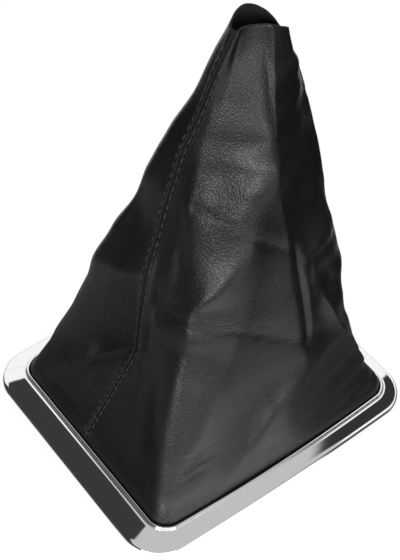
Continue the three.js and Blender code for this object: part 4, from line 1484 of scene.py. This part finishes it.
@dataclass
class Studio:
    """White studio: pale walls, dark flags for the chrome and three softboxes before the object.

    The sweep's tones by direction are painted light and shade, a pool of light before the object and its
    shadow beside it, seen only in reflections, where the object mirrors them.
    """

    background: float = 1.0
    wall: float = 1.0
    panels: tuple = (
        Panel(0.042, (((-0.976, -0.203, -0.086), 90),)),
        Panel(0.57, (((0.726, -0.563, 0.396), 90),)),
        Panel(0.033, ((RIGHT_WALL, 90),)),
        Panel(1.0, ((RIGHT_WALL, 90), ((-0.267, 0.755, 0.600), 90))),
        Panel(0.6, (((0.79, -0.58, 0.25), 11),), 0.03),
    )
    floor_half_m: float = 3.0
    floor_colour: str = "d8d8d8"
    floor_glow: float = 1.21
    shadow_share: float = 0.25
    paper_tone: float = 1.15
    # Painted shade on the far sweep, seen only in reflections: darker stretches before, left and right of
    # the object
    painted_shade_panels: tuple = (
        Panel(0.5, ((FRONT_FAR, 42),), 0.10),
        Panel(0.05, ((LEFT_FAR, 46),), 0.05),
        Panel(0.02, ((RIGHT_FAR, 42),), 0.03),
    )
    # Painted light and shade on the sweep near the object, seen only in reflections: a painted pool of
    # light before it, its painted shadow on the left, darkest close to it, and painted shade on the right
    painted_light_and_shade_rings: tuple = (
        PaintedFloorRing((0.215, 0.19), (Panel(1.6, ((FRONT_NEAR, 26),), 0.10),
                                  Panel(0.60, ((LEFT_NEAR, 52),), 0.10),
                                  Panel(0.02, ((RIGHT_FAR, 42),), 0.03))),
        PaintedFloorRing((0.165, 0.14), (Panel(1.6, ((FRONT_NEAR, 26),), 0.10),
                                  Panel(0.45, ((LEFT_NEAR, 52),), 0.10),
                                  Panel(0.18, ((RIGHT_NEAR, 34),), 0.04))),
        PaintedFloorRing((0.132, 0.118), (Panel(1.6, ((FRONT_NEAR, 26),), 0.10),
                                   Panel(0.04, ((LEFT_NEAR, 58),), 0.10),
                                   Panel(0.18, ((RIGHT_NEAR, 34),), 0.04))),
    )
    ring_fade: tuple = (1.1, 0.95)
    softboxes: tuple = (
        Softbox("wide_softbox", (-0.54, -0.80, 0.56), 0.7, 1.4),
        Softbox("left_strip_softbox", (-0.86, -0.50, 0.47), 0.32, 5.0),
        Softbox("right_strip_softbox", (-0.18, -0.98, 0.36), 0.32, 1.8),
    )
    lamp_aim: tuple = (0.0, 0.0, 0.1)

    def panel_share(self, tree: bpy.types.NodeTree, place: bpy.types.NodeSocket,
                    panel: Panel) -> bpy.types.NodeSocket:
        """Give how much of a panel shows in each direction.

        Args:
            tree: The node tree.
            place: The direction.
            panel: The panel.

        Returns:
            The socket with the share.
        """
        total = None
        for direction, angle in panel.cones:
            aim = tuple(Vector(direction).normalized())
            lean = add_node(tree, "ShaderNodeVectorMath", {"operation": "DOT_PRODUCT", 1: aim},
                            {0: place})
            edge = math.cos(math.radians(angle))
            share = add_node(tree, "ShaderNodeMapRange",
                             {"interpolation_type": "SMOOTHSTEP", "From Min": edge - panel.blur,
                              "From Max": edge + panel.blur},
                             {"Value": lean.outputs["Value"]}).outputs["Result"]
            if total is None:
                total = share
            else:
                total = add_node(tree, "ShaderNodeMath", {"operation": "MULTIPLY"},
                                 {0: total, 1: share}).outputs[0]
        return total

    def world(self) -> None:
        """Build the surroundings: white to the eye, with the panels in light and reflections."""
        world = bpy.data.worlds.new("white_studio")
        bpy.context.scene.world = world
        world.use_nodes = True
        tree = world.node_tree
        tree.nodes.clear()
        output = add_node(tree, "ShaderNodeOutputWorld")
        place = add_node(tree, "ShaderNodeTexCoord").outputs["Generated"]
        tone = self.blend(tree, place, self.panels, self.wall)
        seen = add_node(tree, "ShaderNodeBackground", {"Color": (1, 1, 1, 1)}, {"Strength": tone})
        white = add_node(tree, "ShaderNodeBackground",
                         {"Color": (1, 1, 1, 1), "Strength": self.background})
        path = add_node(tree, "ShaderNodeLightPath")
        mixed = add_node(tree, "ShaderNodeMixShader", {},
                         {0: path.outputs["Is Camera Ray"], 1: seen.outputs[0], 2: white.outputs[0]})
        tree.links.new(mixed.outputs[0], output.inputs["Surface"])

    def blend(self, tree: bpy.types.NodeTree, place: bpy.types.NodeSocket, panels: tuple,
              wall: float | bpy.types.NodeSocket) -> bpy.types.NodeSocket:
        """Lay panels one over another.

        Args:
            tree: The node tree.
            place: The direction.
            panels: The panels, the last one on top.
            wall: The tone where there is no panel, as a value or a socket.

        Returns:
            The socket with the tone.
        """
        tone = wall
        for panel in panels:
            settings = {"data_type": "FLOAT", 3: panel.tone}
            links = {0: self.panel_share(tree, place, panel)}
            (settings if isinstance(tone, float) else links)[2] = tone
            tone = add_node(tree, "ShaderNodeMix", settings, links).outputs[0]
        return tone

    def floor(self) -> None:
        """Lay the white sweep, which keeps a faint shadow of the object, and which glows in reflections
        with painted light and shade.
        """
        material, tree, output = new_material("white_paper_sweep")
        paper = add_node(tree, "ShaderNodeBsdfDiffuse", {"Color": linear(self.floor_colour)})
        path = add_node(tree, "ShaderNodeLightPath")
        place = add_node(tree, "ShaderNodeTexCoord").outputs["Object"]
        away = add_node(tree, "ShaderNodeVectorMath", {"operation": "NORMALIZE"}, {0: place})
        painted_floor_tone = self.blend(tree, away.outputs[0], self.painted_shade_panels, self.paper_tone)
        for ring in self.painted_light_and_shade_rings:
            shares = add_node(tree, "ShaderNodeVectorMath",
                              {"operation": "DIVIDE", 1: (*ring.reach, 1)}, {0: place})
            reach = add_node(tree, "ShaderNodeVectorMath", {"operation": "LENGTH"},
                             {0: shares.outputs[0]})
            near = add_node(tree, "ShaderNodeMapRange",
                            {"From Min": self.ring_fade[0], "From Max": self.ring_fade[1]},
                            {"Value": reach.outputs["Value"]})
            tone = self.blend(tree, away.outputs[0], ring.panels, self.paper_tone)
            painted_floor_tone = add_node(tree, "ShaderNodeMix", {"data_type": "FLOAT"},
                                {0: near.outputs["Result"], 2: painted_floor_tone, 3: tone}).outputs[0]
        # Seen by glossy rays, the sweep glows with the painted light and shade instead of its lit paper
        # colour
        sheen = add_node(tree, "ShaderNodeEmission", {"Color": (1, 1, 1, 1)}, {"Strength": painted_floor_tone})
        glow = add_node(tree, "ShaderNodeEmission",
                        {"Color": (1, 1, 1, 1), "Strength": self.floor_glow})
        seen = add_node(tree, "ShaderNodeMixShader", {},
                        {0: path.outputs["Is Glossy Ray"], 1: paper.outputs[0], 2: sheen.outputs[0]})
        share = add_node(tree, "ShaderNodeMath", {"operation": "MULTIPLY", 1: 1 - self.shadow_share},
                         {0: path.outputs["Is Camera Ray"]})
        mixed = add_node(tree, "ShaderNodeMixShader", {},
                         {0: share.outputs[0], 1: seen.outputs[0], 2: glow.outputs[0]})
        tree.links.new(mixed.outputs[0], output.inputs["Surface"])
        half = self.floor_half_m / MM
        corners = np.array([(-half, -half, 0), (half, -half, 0), (half, half, 0), (-half, half, 0)])
        sweep = mesh_object("studio_floor", corners, [[0, 1, 2, 3]], material)

    def hang(self, softbox: Softbox) -> None:
        """Hang one softbox, turned to the object.

        Args:
            softbox: The softbox.
        """
        data = bpy.data.lights.new(softbox.name, "AREA")
        data.shape = "SQUARE"
        data.size = softbox.width
        data.energy = softbox.power
        lamp = bpy.data.objects.new(softbox.name, data)
        lamp.location = softbox.place
        facing = Vector(self.lamp_aim) - Vector(softbox.place)
        lamp.rotation_euler = facing.to_track_quat("-Z", "Y").to_euler()
        bpy.context.scene.collection.objects.link(lamp)

    def build(self) -> None:
        """Set up the surroundings, the floor and the lamps."""
        self.world()
        self.floor()
        for softbox in self.softboxes:
            self.hang(softbox)
        bpy.context.scene.view_settings.view_transform = "Standard"


@dataclass
class PhotoCamera:
    """The camera, placed by a perspective fit to the bezel's straight edges."""

    azimuth: float = -43.83
    elevation: float = 47.51
    roll: float = 7.51
    distance_mm: float = 512.0
    shift_right_mm: float = -2.51
    shift_up_mm: float = 46.98
    focal_px: float = 1126.87
    seen_from_m: float = 0.01
    seen_to_m: float = 50.0

    def build(self) -> bpy.types.Object:
        """Place the camera and make it the scene's own.

        Returns:
            The camera.
        """
        azimuth, elevation, roll = (math.radians(a) for a in (self.azimuth, self.elevation, self.roll))
        back = Vector((math.sin(azimuth) * math.cos(elevation),
                       -math.cos(azimuth) * math.cos(elevation), math.sin(elevation)))
        level = Vector((math.cos(azimuth), math.sin(azimuth), 0))
        upright = back.cross(level)
        right = level * math.cos(roll) + upright * math.sin(roll)
        up = upright * math.cos(roll) - level * math.sin(roll)
        centre = Vector((*BezelSizes().lip_centre, BEZEL_BASE))
        place = centre + back * self.distance_mm + right * self.shift_right_mm + up * self.shift_up_mm
        data = bpy.data.cameras.new("photo_camera")
        data.sensor_width = SENSOR_MM
        data.lens = self.focal_px / IMAGE_HEIGHT_PX * SENSOR_MM
        data.clip_start = self.seen_from_m
        data.clip_end = self.seen_to_m
        camera = bpy.data.objects.new("photo_camera", data)
        turn = Matrix((right, up, back)).transposed().to_4x4()
        camera.matrix_world = Matrix.Translation(place * MM) @ turn
        bpy.context.scene.collection.objects.link(camera)
        bpy.context.scene.camera = camera
        return camera


def main() -> None:
    """Build the camera, the pieces and the studio in order."""
    logging.basicConfig(level=logging.INFO, format="%(name)s: %(message)s")
    PhotoCamera().build()
    Bezel().build()
    sleeve = Sleeve()
    sleeve.build()
    for side in Side:
        StitchRow(sleeve, side).build()
    Fixings().dress()
    Studio().build()


if __name__ == "__main__":
    main()
